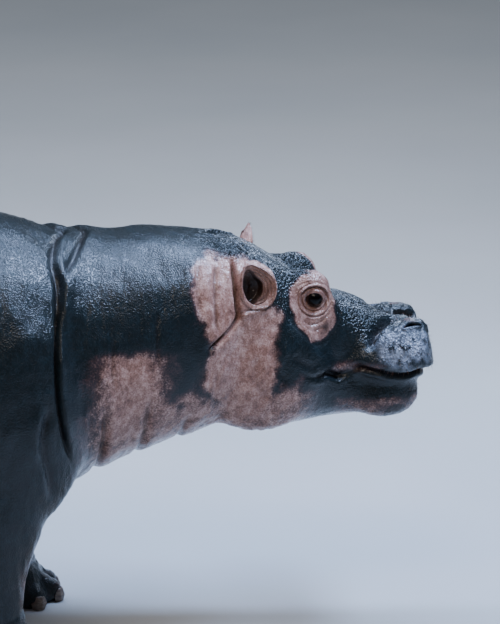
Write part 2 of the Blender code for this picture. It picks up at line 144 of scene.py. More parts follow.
def relaxed(points, edges, passes, weight=1.0):
    """Points moved towards the mean of their neighbours, and back a little to keep the volume."""
    start, end = edges.T
    count = len(points)
    links = np.bincount(start, minlength=count) + np.bincount(end, minlength=count)
    links = np.maximum(links, 1)[:, None]
    weight = np.broadcast_to(np.asarray(weight, dtype=float), (count,))[:, None]
    made = points.copy()
    for _ in range(passes):
        for factor in (SMOOTH_FACTOR, SWELL_FACTOR):
            total = np.empty_like(made)
            for k in range(3):
                sums = [np.bincount(to, made[other, k], count) for to, other in ((start, end), (end, start))]
                total[:, k] = sums[0] + sums[1]
            made += factor * weight * (total / links - made)
    return made


def step(low, high, values):
    """0 below low, 1 above high, smooth between; low may be above high."""
    t = np.clip((values - low) / (high - low), 0.0, 1.0)
    return t * t * (3 - 2 * t)


def bell(values, centre, width):
    return np.exp(-(((values - centre) / width) ** 2))


def lattice_noise(points, scale, seed):
    """Smooth noise from -1 to 1, with about scale bumps in a metre."""
    place = np.asarray(points) * scale
    cell = np.floor(place).astype(np.int64)
    part = place - cell
    part = part * part * (3 - 2 * part)
    total = np.zeros(len(place))
    for corner in range(8):
        bits = np.array([corner & 1, corner >> 1 & 1, corner >> 2 & 1])
        x, y, z = (cell + bits).T
        mixed = (x * 73856093 ^ y * 19349663 ^ z * 83492791 ^ seed * 2654435761) & 0xFFFFFFFF
        mixed = (mixed ^ mixed >> 15) * 2246822519 & 0xFFFFFFFF
        mixed = (mixed ^ mixed >> 13) * 3266489917 & 0xFFFFFFFF
        value = (mixed ^ mixed >> 16 & 0xFFFF) / 0xFFFFFFFF * 2 - 1
        total += value * np.prod(np.where(bits, part, 1 - part), axis=1)
    return total


def cloudy(points, scale, octaves, seed):
    """Noise with finer and weaker noise on top."""
    total = np.zeros(len(points))
    for k in range(octaves):
        total += lattice_noise(points, scale * 2**k, seed + k) / 2**k
    return total


def smooth_curve(stations, steps=8, closed=False):
    """Points on a smooth curve through the stations."""
    stations = np.asarray(stations, dtype=float)
    count = len(stations)
    made = []
    for i in range(count if closed else count - 1):
        four = np.arange(i - 1, i + 3)
        a, b, c, d = stations[four % count if closed else np.clip(four, 0, count - 1)]
        for s in range(steps):
            t = s / steps
            curve = 2 * b + (c - a) * t + (2 * a - 5 * b + 4 * c - d) * t**2
            made.append(0.5 * (curve + (3 * b - a - 3 * c + d) * t**3))
    if not closed:
        made.append(stations[-1])
    return np.array(made)


def along_curve(points, curve):
    """For each point: its distance to the curve, how far along it that is (0 to 1), and the nearest place."""
    best = np.full(len(points), np.inf)
    where = np.zeros(len(points))
    nearest = np.zeros_like(points)
    spans = curve[1:] - curve[:-1]
    lengths = lengths_of(spans)
    done = 0.0
    for start, span, length in zip(curve, spans, lengths):
        t = np.clip(((points - start) @ span) / max(length**2, 1e-12), 0.0, 1.0)
        place = start + t[:, None] * span
        distance = lengths_of(points - place)
        closer = distance < best
        best[closer] = distance[closer]
        where[closer] = ((done + t * length) / lengths.sum())[closer]
        nearest[closer] = place[closer]
        done += length
    return best, where, nearest


def outline_distance(points, outline):
    """Signed distance of 2-D points from a closed outline: below zero inside."""
    closed = np.vstack([outline, outline[:1]])
    distance = along_curve(points, closed)[0]
    inside = np.zeros(len(points), dtype=bool)
    for (x0, y0), (x1, y1) in zip(closed, closed[1:]):
        crosses = (y0 > points[:, 1]) != (y1 > points[:, 1])
        if y0 != y1:
            inside ^= crosses & (points[:, 0] < (x1 - x0) * (points[:, 1] - y0) / (y1 - y0) + x0)
    return np.where(inside, -distance, distance)


# ---------------- the base skin


def welded(node):
    """The mesh of a CAD node as a bmesh, its points welded, swollen a little along its normals."""
    bm = bmesh.new()
    bm.from_mesh(frame["nodes"][node].data)
    bmesh.ops.remove_doubles(bm, verts=bm.verts, dist=0.00002)
    bm.normal_update()
    for vert in bm.verts:
        vert.co += vert.normal * SWELL
    return bm


def new_object(name, mesh):
    made = bpy.data.objects.new(name, mesh)
    bpy.context.scene.collection.objects.link(made)
    return made


def remesh(made, voxel_size):
    """Replaces the mesh of an object with one skin of even voxels round it."""
    blend = made.modifiers.new("blend", "REMESH")
    blend.mode = "VOXEL"
    blend.voxel_size = voxel_size
    graph = bpy.context.evaluated_depsgraph_get()
    made.data = bpy.data.meshes.new_from_object(made.evaluated_get(graph), depsgraph=graph)
    made.modifiers.clear()


def base_skin():
    """One smooth closed mesh over all the flesh but the ears, with the eye sockets filled."""
    mesh = bpy.data.meshes.new("joined")
    joined = bmesh.new()
    for node in [n for n in FLESH if not n.startswith("ear_")] + ["eye_left", "eye_right"]:
        joined.from_mesh(write(welded(node), mesh))
    made = new_object("hippopotamus_skin", write(joined, mesh))
    remesh(made, VOXEL)
    keep_largest(made.data)
    return made


def keep_largest(mesh):
    """Drops every loose bit but the one with the most points."""
    label = np.arange(len(mesh.vertices))
    start, end = edges_of(mesh).T
    while True:
        lower = np.minimum(label[start], label[end])
        fresh = label.copy()
        np.minimum.at(fresh, start, lower)
        np.minimum.at(fresh, end, lower)
        fresh = fresh[fresh]
        if (fresh == label).all():
            break
        label = fresh
    values, sizes = np.unique(label, return_counts=True)
    bm = editable(mesh)
    loose = [bm.verts[i] for i in np.flatnonzero(label != values[sizes.argmax()])]
    bmesh.ops.delete(bm, geom=loose, context="VERTS")
    write(bm, mesh)


def refine(mesh, wanted):
    """Splits in four each face whose points are all wanted, a function of the points."""
    flags = wanted(points_of(mesh))
    bm = editable(mesh)
    edges = [e for e in bm.edges if flags[e.verts[0].index] and flags[e.verts[1].index]]
    bmesh.ops.subdivide_edges(bm, edges=edges, cuts=1, use_grid_fill=True)
    write(bm, mesh)


def fine_zone(points):
    """The front, the thigh, the legs and the rump."""
    x, _, z = points.T
    front = x > NECK_X - 0.62
    thigh = (x < NECK_X - 0.92) & (x > NECK_X - 1.42) & (z < 0.9)
    return front | thigh | (z < 0.55) | (x < NECK_X - 1.6)


def finest_zone(points):
    """The head, the deep crease of the neck and the feet."""
    x, _, z = points.T
    crease_zone = (np.abs(x - NECK_X - 0.02) < 0.11) & (z > 0.6)
    return (x > HEAD_X - 0.02) | crease_zone | (z < ANKLE_Z + 0.03)


def smooth_base(skin):
    """Rounds off the facets of the solids, most on the trunk and least on the head and feet."""
    mesh = skin.data
    points, edges = points_of(mesh), edges_of(mesh)
    x, _, z = points.T
    trunk = step(HEAD_X - 0.02, HEAD_X - 0.12, x) * step(0.2, 0.38, z)
    trunk *= step(RUMP_X - 0.02, RUMP_X + 0.03, x)
    set_points(mesh, relaxed(relaxed(points, edges, 8), edges, 70, trunk))
    refine(mesh, fine_zone)
    points = points_of(mesh)
    ahead_of_rump = step(RUMP_X + 0.1, RUMP_X + 0.4, points[:, 0])
    set_points(mesh, relaxed(points, edges_of(mesh), 12, ahead_of_rump * 0.5 + 0.5))
    refine(mesh, finest_zone)
    set_points(mesh, relaxed(points_of(mesh), edges_of(mesh), 10))


# ---------------- patches: eyes, nostrils and ears


class Place:
    """A local frame on the skin: a runs across, b up or towards the tip, and h outwards."""

    def __init__(self, origin, out, up):
        self.origin = np.array(origin, dtype=float)
        out, up = Vector(out).normalized(), Vector(up)
        self.h = np.array(out)
        self.a = np.array(up.cross(out).normalized())
        self.b = np.cross(self.h, self.a)

    def world(self, a, b, h):
        a, b, h = (np.asarray(v, dtype=float)[..., None] for v in (a, b, h))
        return self.origin + a * self.a + b * self.b + h * self.h

    def local(self, points):
        offset = points - self.origin
        return offset @ self.a, offset @ self.b, offset @ self.h


def heights_on(tree, place, a, b):
    """The skin's height over the plane of a place, by rays straight down on to it."""
    heights = []
    for start in place.world(a, b, RAY_START):
        hit = tree.ray_cast(Vector(start), Vector(-place.h), RAY_LENGTH)[0]
        if hit is None:  # the ray slipped past the skin
            hit = tree.find_nearest(Vector(start))[0]
        heights.append((np.array(hit) - place.origin) @ place.h)
    return np.array(heights)


def join_loops(bm, loops):
    """Faces between neighbouring loops of vertices."""
    for low, high in zip(loops, loops[1:]):
        for i in range(len(low)):
            j = (i + 1) % len(low)
            bm.faces.new((low[i], low[j], high[j], high[i]))


def close_loop(bm, loop, tip):
    for i in range(len(loop)):
        bm.faces.new((loop[i], loop[(i + 1) % len(loop)], tip))


def stitch(bm, place, outer, rings, depth):
    """Cuts the skin away inside the outer curve, sews the rings in its stead, and returns their vertices.

    outer is a closed curve in the plane of the place. rings are loops of points, the first one next to the
    skin and the last one closed by a fan.
    """
    a, b, h = place.local(np.array([v.co for v in bm.verts]))
    near = (np.abs(h) < depth) & (np.abs(a) < PATCH_REACH) & (np.abs(b) < PATCH_REACH)
    gone = np.zeros(len(a), dtype=bool)
    gone[near] = outline_distance(np.stack([a, b], axis=1)[near], outer) < PATCH_GAP
    bm.verts.ensure_lookup_table()
    bmesh.ops.delete(bm, geom=[bm.verts[i] for i in np.flatnonzero(gone)], context="VERTS")
    ragged = [v for v in bm.verts if v.is_boundary and sum(e.is_boundary for e in v.link_edges) > 2]
    bmesh.ops.delete(bm, geom=ragged, context="VERTS")
    edge = [e for e in bm.edges if e.is_boundary]
    loops = [[bm.verts.new(p) for p in ring] for ring in rings]
    join_loops(bm, loops)
    centre = bm.verts.new(np.mean([v.co for v in loops[-1]], axis=0))
    close_loop(bm, loops[-1], centre)
    rim = [bm.edges.get(pair) for pair in zip(loops[0], loops[0][1:] + loops[0][:1])]
    bmesh.ops.bridge_loops(bm, edges=edge + rim)
    return [*loops, [centre]]


def round_angles(count):
    return np.linspace(0, 2 * math.pi, count, endpoint=False)


def oval(angles, half_a, half_b):
    return np.stack([half_a * np.cos(angles), half_b * np.sin(angles)], axis=1)


def turned(flat, degrees):
    """Flat points turned about the middle of their place."""
    c, s = math.cos(math.radians(degrees)), math.sin(math.radians(degrees))
    a, b = flat.T
    return np.stack([a * c - b * s, a * s + b * c], axis=1)


def on_side(side, origin, out, up):
    """A place given for the left side, or its mirror image on the right side."""
    sign = SIDES[side]
    made = Place(*((x, sign * y, z) for x, y, z in (origin, out, up)))
    made.a *= -sign
    return made


# The eye
EYE_SEGMENTS = 112
EYE_SLANT = -14  # the front corner is the lower one
OPENING = (0.03, 0.0275, 0.024)  # half length, height above and below
OPENING_SHIFT = (-0.0025, -0.007)
EYE_PATCH = (0.069, 0.06)  # half sizes of the finely ringed skin round an eye
EYE_PATCH_SHIFT = (-0.006, -0.01)
LID_THICKNESS = 0.0032
LID_RINGS = 40
LID_EDGE = ((0.0028, -0.03), (0.0016, -0.05), (0.0003, -0.04), (0.0003, 0.12))  # height over the ball, turn


def eye_place(side):
    return on_side(side, (EYE.x, EYE.y, EYE.z), (0.03, 1, 0.06), (0, 0, 1))


def opening_curve(angles):
    half, above, below = OPENING
    s = np.sin(angles)
    b = np.where(s > 0, above, below) * np.sign(s) * np.abs(s) ** 1.06
    return turned(np.stack([half * np.cos(angles), b], axis=1), EYE_SLANT) + OPENING_SHIFT


def lid_relief(a, b, distance):
    """Height of the rolls and creases round an eye, for points this far outside its opening."""
    d = distance * 1000  # millimetres, as the relief is
    angle = np.arctan2(b - OPENING_SHIFT[1], a - OPENING_SHIFT[0]) - math.radians(EYE_SLANT)
    up = step(-0.25, 0.45, np.sin(angle))
    down = 1 - up
    back = step(0.2, -0.7, np.cos(angle))
    relief = up * (4.6 * bell(d, 7.5, 5.2) - 6.5 * bell(d, 16.0, 2.3) + 3.2 * bell(d, 23.5, 5.5))
    relief += down * (2.4 * bell(d, 4.5, 3.2) - 4.4 * bell(d, 9.6, 1.9) + 3.6 * bell(d, 16.5, 4.6))
    relief -= down * 4.2 * bell(d, 25.0, 2.4)
    relief -= back * 3.4 * bell(d, 28.0, 2.6) * up
    relief += 1.6 * bell(d, 32.0, 3.4) * (1 - 0.5 * back)
    return relief / 1000


def on_ball(place, radius, polar, compass):
    """Points at these angles from the gaze and round it."""
    across = radius * np.sin(polar)
    return place.world(across * np.cos(compass), across * np.sin(compass), radius * np.cos(polar))


def eye_rings(tree, place):
    """Rings over the lids to the opening, round their edge, and behind the eyeball."""
    angles = round_angles(EYE_SEGMENTS)
    inner = opening_curve(angles)
    outer = turned(oval(angles, *EYE_PATCH) + EYE_PATCH_SHIFT, EYE_SLANT)
    rings = []
    for t in np.linspace(1, 0, LID_RINGS) ** 1.25:
        flat = inner + (outer - inner) * t
        a, b = flat.T
        away = lengths_of(flat - inner)
        ground = heights_on(tree, place, a, b)
        radius = EYE_RADIUS + LID_THICKNESS + 0.0016 * step(0, 0.008, away)
        dome = np.sqrt(np.maximum(radius**2 - np.hypot(a, b) ** 2, 1e-8))
        mix = step(0.006, 0.024, away)
        height = np.maximum(dome, ground - 0.01) * (1 - mix) + np.maximum(ground, dome * 0.92) * mix
        height += lid_relief(a, b, away) * step(1.0, 0.72, t)
        rings.append(place.world(a, b, height))
    a, b = inner.T
    polar = np.arcsin(np.minimum(np.hypot(a, b) / (EYE_RADIUS + LID_THICKNESS), 1))
    compass = np.arctan2(b, a)
    for lift, turn_in in LID_EDGE:
        rings.append(on_ball(place, EYE_RADIUS + lift, polar + turn_in, compass))
    lift, turn_in = LID_EDGE[-1]
    for t in (0.25, 0.5, 0.75, 0.93):
        behind = (polar + turn_in) * (1 - t) + math.pi * t
        rings.append(on_ball(place, EYE_RADIUS + lift, behind, compass))
    return outer, rings


# The nostrils
NOSTRIL = Vector((NOSE_X - 0.077, 0.11, EYE.z - 0.121))
NOSTRIL_SEGMENTS = 72
NOSTRIL_RIM = (0.046, 0.032)
NOSTRIL_SLIT = (0.035, 0.0068)
NOSTRIL_BEND = 0.01  # the slit is a crescent
NOSTRIL_TURN = 24
NOSTRIL_RINGS = (1, 0.85, 0.7, 0.58, 0.47, 0.37, 0.28, 0.2, 0.13, 0.07, 0.02)  # from the rim to the slit
NOSTRIL_WELL = ((1.0, 0.0), (0.97, 0.004), (0.98, 0.01), (0.95, 0.018), (0.75, 0.026), (0.4, 0.031))


def nostril_place(side):
    return on_side(side, NOSTRIL, (0.14, 0.7, 0.7), (0, 1, 0))


def nostril_rings(tree, place):
    """Rings over the lip of a nostril and down its slit; a runs backwards along the slit and b across it."""
    angles = round_angles(NOSTRIL_SEGMENTS)
    slit = oval(angles, *NOSTRIL_SLIT)
    slit[:, 1] += NOSTRIL_BEND * np.cos(angles) ** 2
    slit = turned(slit, NOSTRIL_TURN)
    rim = turned(oval(angles, *NOSTRIL_RIM), NOSTRIL_TURN)
    rings = []
    for t in NOSTRIL_RINGS:
        a, b = (slit + (rim - slit) * t).T
        lift = 0.007 * bell(t, 0.22, 0.22) * step(1.0, 0.7, t) - 0.0025 * bell(t, 0.8, 0.12)
        rings.append(place.world(a, b, heights_on(tree, place, a, b) + lift))
    ground = heights_on(tree, place, *slit.T)
    centre = slit.mean(axis=0)
    for shrink, deep in NOSTRIL_WELL:
        a, b = (centre + (slit - centre) * shrink).T
        rings.append(place.world(a, b, ground - deep))
    return rim, rings


# The ears. face is the way that the cup faces and tip the way that its tip points. root_size is the half
# width and half depth of the root on the head, and hollow the middle of the cup's deep part.
Ear = namedtuple("Ear", "middle face tip half_size root_size depth hollow")
EARS = {
    "right": Ear(middle("ear_right") + Vector((-0.003, 0.003, 0.008)), (-0.08, -0.96, 0.2),
                 (-0.1, 0.2, 0.97), (0.0575, 0.0715), (0.043, 0.052), 0.04, (-0.025, 0.001)),
    "left": Ear(middle("ear_left") + Vector((0.004, 0.0, -0.01)), (0.98, 0.1, -0.16),
                (0.22, 0.1, 0.96), (0.046, 0.072), (0.036, 0.026), 0.019, (0.012, 0.0)),
}
EAR_SEGMENTS = 96
EAR_OUTER_RINGS = 16  # the rest are on the rim and in the cup
EAR_INNER_RINGS = 44
DEEP_CUP = 0.04  # the depth that the heights of the rim are for
CUP_PROFILE = 0.05  # the depth that the profile of the cup is for
RIM_BEAD = ((1.0, 0.0), (0.995, 0.0018), (0.98, 0.0032), (0.96, 0.0036), (0.94, 0.003), (0.925, 0.0014))
RIDGES = (0.865, 0.735, 0.615, 0.5)
GROOVES = (0.925, 0.8, 0.675, 0.557)


def ear_place(side):
    return Place(EARS[side].middle, EARS[side].face, EARS[side].tip)


def ear_rim(side, angles):
    """The rim seen into the cup: flat at the back, with a blunt tip that leans back."""
    half_a, half_b = EARS[side].half_size
    c, s = np.cos(angles), np.sin(angles)
    if side == "left":
        c = -c
    a = half_a * np.where(c > 0, c, -np.abs(c) ** 0.55 * 0.93)
    b = half_b * np.where(s > 0, s, -np.abs(s) ** 0.8)
    tip = np.maximum(s, 0) ** 2
    a = a * (1 - 0.42 * tip) - 0.016 * tip
    return (a if side == "right" else -a), b


def rim_height(side, angles):
    """How far the rim stands out of the plane of its ear."""
    return (0.012 - 0.006 * np.cos(angles) + 0.004 * np.sin(angles)) * EARS[side].depth / DEEP_CUP


def from_hollow(side, a, b):
    """The way from the middle of the hollow to a point in the plane of the ear."""
    return a - EARS[side].hollow[0], b - EARS[side].hollow[1]


def cup_bearing(side, a, b):
    """The bearing of a point from the middle of the hollow, as its forward and its upward part."""
    ahead, above = from_hollow(side, a, b)
    length = np.maximum(np.hypot(ahead, above), 1e-9)
    return ahead / length, above / length


def hollow_edge(side, a, b):
    """How far out the deep hollow of the cup reaches, as a part of the way to the rim."""
    c, s = cup_bearing(side, a, b)
    ragged = lattice_noise(np.stack([c, s, c], axis=-1).reshape(-1, 3), 2.2, 4).reshape(c.shape)
    return 0.74 + 0.02 * np.abs(s) - 0.27 * step(-0.1, 0.9, c) + 0.04 * ragged


def ridged_part(side, a, b):
    """1 where the cup has ridges along its rim, and 0 elsewhere."""
    forward, upward = cup_bearing(side, a, b)
    return step(-0.55, 0.15, forward - 0.35 * upward)


def ear_rings(side, root):
    """Rings from the root on the head over the back of the cup to its rim, and down into it."""
    place = ear_place(side)
    deep = EARS[side].depth
    angles = round_angles(EAR_SEGMENTS)
    rim_a, rim_b = ear_rim(side, angles)
    rim_h = rim_height(side, angles)
    root_a, root_b, root_h = place.local(root)
    rings = []
    for t in np.linspace(0, 1, EAR_OUTER_RINGS + 1)[:-1]:
        out, rise = math.sin(t * math.pi / 2), 1 - math.cos(t * math.pi / 2)
        across, lift = (out, 0.55 * rise + 0.45 * t) if side == "right" else (t, out)
        h = root_h + (rim_h - root_h) * lift
        if side == "left":
            h = h - 0.012 * np.maximum(np.sin(angles), -0.2) * math.sin(t * math.pi)
        rings.append(place.world(root_a + (rim_a - root_a) * across, root_b + (rim_b - root_b) * across, h))
    for grow, up in RIM_BEAD:
        rings.append(place.world(rim_a * grow, rim_b * grow, rim_h + up * deep / DEEP_CUP))
    edge = hollow_edge(side, rim_a, rim_b)
    ridged = ridged_part(side, rim_a, rim_b)
    for t in np.linspace(0.905, 0.05, EAR_INNER_RINGS):
        a = rim_a * t + EARS[side].hollow[0] * (1 - t)
        b = rim_b * t + EARS[side].hollow[1] * (1 - t)
        ridges = 0.0052 * sum(bell(t, ridge, 0.026) for ridge in RIDGES) * step(0.0, 0.06, t - edge)
        depth = 0.003 + 0.013 * step(0.95, 0.45, t) + 0.034 * step(0.05, -0.13, t - edge) - ridged * ridges
        rings.append(place.world(a, b, rim_h - depth * deep / CUP_PROFILE))
    return rings


def ear_root(tree, side):
    """The loop on the head that an ear grows from, and the place and curve that cut its hole."""
    ear = EARS[side]
    flat = oval(round_angles(EAR_SEGMENTS), *ear.root_size)
    if side == "right":  # its cup faces outwards, so it lies flat on the side of the head
        hole = ear_place(side)
        flat -= (0.006, 0.004)
    else:  # its cup faces forwards, so it stands up on its root
        hole = Place(ear.middle, ear.tip, -Vector(ear.face))
    a, b = flat.T
    return hole, flat, hole.world(a, b, heights_on(tree, hole, a, b))


def add_patches(skin):
    """Sews finely ringed eyes, nostrils and ears into the skin.

    cup is 1 on the rim of an ear and inside it, 0.5 on the back of the ear and 0 elsewhere.
    """
    bm = editable(skin.data)
    cup = bm.verts.layers.float.new("cup")
    tree = BVHTree.FromBMesh(bm)
    for side in SIDES:
        for place_of, rings_of, depth in ((eye_place, eye_rings, 0.06), (nostril_place, nostril_rings, 0.05)):
            outer, rings = rings_of(tree, place_of(side))
            stitch(bm, place_of(side), outer, rings, depth)
        hole, outer, root = ear_root(tree, side)
        for ring, verts in enumerate(stitch(bm, hole, outer, ear_rings(side, root), 0.12)):
            for vert in verts:
                vert[cup] = 0.5 if ring < EAR_OUTER_RINGS else 1.0
    bmesh.ops.recalc_face_normals(bm, faces=bm.faces)
    write(bm, skin.data)


# ---------------- folds and creases


# Folds, pressed in this order: stations, depth, half width, height of the roll beside it, and the side that
# the roll is on. A fold that starts in the middle plane runs on to the other side, and a ridge has a depth
# below zero.
NECK_FOLDS = (
    # the crease across the neck, soft over the top and deep down the sides, and the one that runs into it
    (((0.036, 0.0, 1.285), (0.004, 0.07, 1.278), (-0.028, 0.188, 1.238), (-0.022, 0.268, 1.172),
     (-0.034, 0.34, 1.068)), 0.011, 0.011, 0.012, "ahead"),
    (((-0.01, 0.13, 1.26), (-0.028, 0.188, 1.238), (-0.022, 0.268, 1.172), (-0.034, 0.34, 1.068),
     (-0.043, 0.389, 0.953), (-0.04, 0.385, 0.8), (-0.01, 0.34, 0.64)),
     0.019, 0.006, 0.011, "ahead"),
    (((0.1, 0.0, 1.285), (0.082, 0.07, 1.275), (0.038, 0.172, 1.23), (-0.009, 0.246, 1.19),
     (-0.024, 0.29, 1.13)), 0.011, 0.011, 0.012, "ahead"),
    # faint creases along the neck
    (((0.286, 0.3, 1.104), (0.28, 0.33, 1.02), (0.284, 0.33, 0.926)), 0.004, 0.006, 0.0015, "ahead"),
    (((0.15, 0.34, 1.06), (0.142, 0.375, 0.96), (0.15, 0.37, 0.84)), 0.003, 0.006, 0.0015, "ahead"),
)
HEAD_FOLDS = (
    # folds behind the ear
    (((-0.262, 0.12, 0.16), (-0.26, 0.16, 0.118), (-0.259, 0.201, 0.065), (-0.257, 0.219, 0.007),
     (-0.256, 0.225, -0.023), (-0.283, 0.242, -0.058), (-0.327, 0.262, -0.091), (-0.37, 0.272, -0.122)),
     0.02, 0.0065, 0.013, "both"),
    (((-0.311, 0.146, 0.132), (-0.325, 0.206, 0.076), (-0.328, 0.251, -0.021), (-0.317, 0.257, -0.083)),
     0.006, 0.0075, 0.004, "behind"),
    (((-0.36, 0.159, 0.138), (-0.383, 0.217, 0.082), (-0.379, 0.262, -0.015)),
     0.004, 0.008, 0.003, "behind"),
    # the notch across the nape
    (((-0.3, 0.0, 0.185), (-0.28, 0.03, 0.18), (-0.245, 0.05, 0.17), (-0.215, 0.058, 0.158),
     (-0.19, 0.08, 0.14)), 0.014, 0.0075, 0.008, "behind"),
    # round the orbit
    (((0.052, 0.11, 0.034), (0.073, 0.101, -0.022), (0.078, 0.13, -0.07), (0.056, 0.165, -0.118),
     (0.002, 0.182, -0.136), (-0.046, 0.188, -0.104), (-0.074, 0.186, -0.06), (-0.093, 0.17, 0.0),
     (-0.088, 0.15, 0.04)), 0.003, 0.01, 0.003, "both"),
    # wrinkles of the pouch under the eye
    (((-0.055, 0.172, -0.048), (-0.022, 0.178, -0.072), (0.018, 0.17, -0.07), (0.048, 0.15, -0.046)),
     0.0032, 0.0035, 0.002, "below"),
    (((-0.046, 0.176, -0.078), (-0.01, 0.18, -0.094), (0.03, 0.17, -0.086)),
     0.0025, 0.0032, 0.0015, "below"),
    # over the brow
    (((-0.08, 0.12, 0.06), (-0.04, 0.112, 0.078), (0.01, 0.105, 0.074), (0.045, 0.095, 0.044)),
     0.003, 0.0045, 0.0015, "both"),
    # from the nostril back over the muzzle
    (((0.3, 0.01, -0.106), (0.279, 0.025, -0.105), (0.254, 0.06, -0.104), (0.226, 0.1, -0.104),
     (0.2, 0.13, -0.114), (0.184, 0.148, -0.13), (0.174, 0.163, -0.151), (0.17, 0.172, -0.18)),
     0.036, 0.0125, 0.009, "ahead"),
    # the hollow on the inner side of each nostril
    (((0.285, 0.036, -0.106), (0.304, 0.038, -0.109), (0.33, 0.042, -0.113), (0.352, 0.05, -0.122),
     (0.368, 0.06, -0.136)), 0.018, 0.01, 0.004, "outside"),
    # ridges along the snout and in front of the eye
    (((0.085, 0.034, -0.022), (0.122, 0.034, -0.037), (0.16, 0.032, -0.053), (0.205, 0.028, -0.077)),
     -0.0045, 0.01, 0.0, "both"),
    (((0.05, 0.133, -0.008), (0.067, 0.129, -0.033), (0.085, 0.12, -0.052), (0.11, 0.111, -0.072)),
     -0.005, 0.0065, 0.0, "both"),
    # the ridge under the ear
    (((-0.256, 0.224, -0.02), (-0.236, 0.222, -0.01), (-0.205, 0.22, -0.004), (-0.172, 0.218, -0.003),
     (-0.146, 0.202, -0.008)), 0.005, 0.0045, 0.007, "below"),
    # the cheek, above the corner of the mouth
    (((-0.08, 0.245, -0.15), (-0.04, 0.24, -0.185), (0.01, 0.225, -0.215)),
     0.004, 0.014, 0.0, "above"),
    (((-0.15, 0.255, -0.12), (-0.13, 0.262, -0.19), (-0.09, 0.255, -0.25)),
     0.004, 0.014, 0.0, "ahead"),
    (((-0.205, 0.26, -0.14), (-0.2, 0.268, -0.23), (-0.16, 0.255, -0.31)),
     0.004, 0.015, 0.0, "ahead"),
)
TRUNK_FOLDS = (
    # where the foreleg comes out of the trunk
    (((-0.06, 0.42, 0.86), (-0.085, 0.44, 0.74), (-0.06, 0.42, 0.62), (-0.04, 0.39, 0.52)),
     0.01, 0.015, 0.007, "behind"),
    (((-0.43, 0.47, 0.94), (-0.48, 0.472, 0.8), (-0.495, 0.46, 0.66), (-0.47, 0.43, 0.52),
     (-0.43, 0.38, 0.44)), 0.013, 0.018, 0.009, "ahead"),
    (((-0.56, 0.46, 0.7), (-0.565, 0.44, 0.57), (-0.52, 0.4, 0.47)),
     0.007, 0.016, 0.004, "behind"),
    # the flank and the thigh
    (((-1.34, 0.465, 0.86), (-1.27, 0.472, 0.73), (-1.215, 0.455, 0.6), (-1.175, 0.42, 0.5),
     (-1.15, 0.36, 0.43)), 0.015, 0.019, 0.01, "behind"),
    (((-1.18, 0.465, 0.7), (-1.13, 0.45, 0.58), (-1.08, 0.41, 0.49)),
     0.008, 0.016, 0.005, "ahead"),
    (((-1.06, 0.46, 0.64), (-1.01, 0.44, 0.54), (-0.96, 0.4, 0.47)),
     0.005, 0.015, 0.003, "ahead"),
    (((-1.69, 0.3, 0.8), (-1.66, 0.37, 0.68), (-1.62, 0.39, 0.56)),
     0.009, 0.016, 0.005, "ahead"),
    # under the neck
    (((0.1, 0.0, 0.53), (0.105, 0.17, 0.57), (0.11, 0.29, 0.69), (0.12, 0.36, 0.83)),
     0.011, 0.012, 0.006, "ahead"),
    (((0.23, 0.0, 0.58), (0.235, 0.16, 0.62), (0.245, 0.27, 0.73), (0.26, 0.32, 0.84)),
     0.009, 0.011, 0.005, "ahead"),
    (((0.36, 0.0, 0.62), (0.365, 0.15, 0.66), (0.38, 0.24, 0.76)), 0.007, 0.01, 0.004, "ahead"),
    # beside the root of the tail
    (((-1.7, 0.06, 1.24), (-1.76, 0.08, 1.12), (-1.79, 0.085, 0.98), (-1.78, 0.08, 0.84)),
     0.014, 0.015, 0.008, "outside"),
)
FOLDS = ((FROM_CREASE, NECK_FOLDS), (FROM_EYE, HEAD_FOLDS), (FROM_CREASE, TRUNK_FOLDS))
ROLL_SIDES = {"ahead": (1, 0, 0), "behind": (-1, 0, 0), "outside": (0, 1, 0), "above": (0, 0, 1),
              "below": (0, 0, -1), "both": (0, 0, 0)}
MOUTH = ((-0.062, 0.23, -0.206), (-0.027, 0.23, -0.23), (0.033, 0.22, -0.242), (0.103, 0.21, -0.238),
         (0.163, 0.22, -0.246), (0.223, 0.23, -0.268), (0.283, 0.23, -0.275), (0.343, 0.2, -0.265),
         (0.372, 0.12, -0.262), (0.388, 0.0, -0.262))  # from the eye


def snapped(tree, stations, side):
    """A smooth curve through the stations, on this side of the body, laid on to the skin."""
    curve = smooth_curve(stations)
    curve[:, 1] *= side
    return np.array([tree.find_nearest(Vector(p))[0] for p in curve])


def crease(points, normals, fold_shade, curve, depth, width, roll, roll_side, taper=0.18):
    """Presses a groove along the curve, with a soft roll beside it, and notes the painted shade that darkens
    it.
    """
    reach = width * 11
    near = ((points > curve.min(axis=0) - reach) & (points < curve.max(axis=0) + reach)).all(axis=1)
    chosen = np.flatnonzero(near)
    distance, where, nearest = along_curve(points[chosen], curve)
    ends = step(0, taper, where) * step(1, 1 - taper, where)
    move = -depth * (0.88 * bell(distance, 0, width) + 0.16 * bell(distance, 0, width * 2.8))
    beside = step(-0.002, 0.004, (points[chosen] - nearest) @ roll_side) if roll_side.any() else 0.5
    move += roll * (1 - bell(distance, 0, width * 1.4)) * bell(distance, 0, width * 5) * beside
    points[chosen] += (ends * move)[:, None] * normals[chosen]
    # painted shade in the groove, darker where it is deep for its width
    shade = ends * bell(distance, 0, 0.75 * width) * min(1.0, 0.9 * depth / width)
    fold_shade[chosen] = np.maximum(fold_shade[chosen], shade)


def press_folds(points, normals, fold_shade, tree):
    """Every fold of the list, on both sides of the body."""
    for origin, folds in FOLDS:
        for stations, *sizes, roll_side in folds:
            stations = np.add(origin, stations)
            towards = np.array(ROLL_SIDES[roll_side], dtype=float)
            if stations[0, 1] == 0:  # one fold across the middle plane
                whole = snapped(tree, np.vstack([stations[:0:-1] * (1, -1, 1), stations]), 1)
                crease(points, normals, fold_shade, whole, *sizes, towards, 0.1)
                continue
            for side in SIDES.values():
                curve = snapped(tree, stations, side)
                crease(points, normals, fold_shade, curve, *sizes, towards * (1, side, 1))


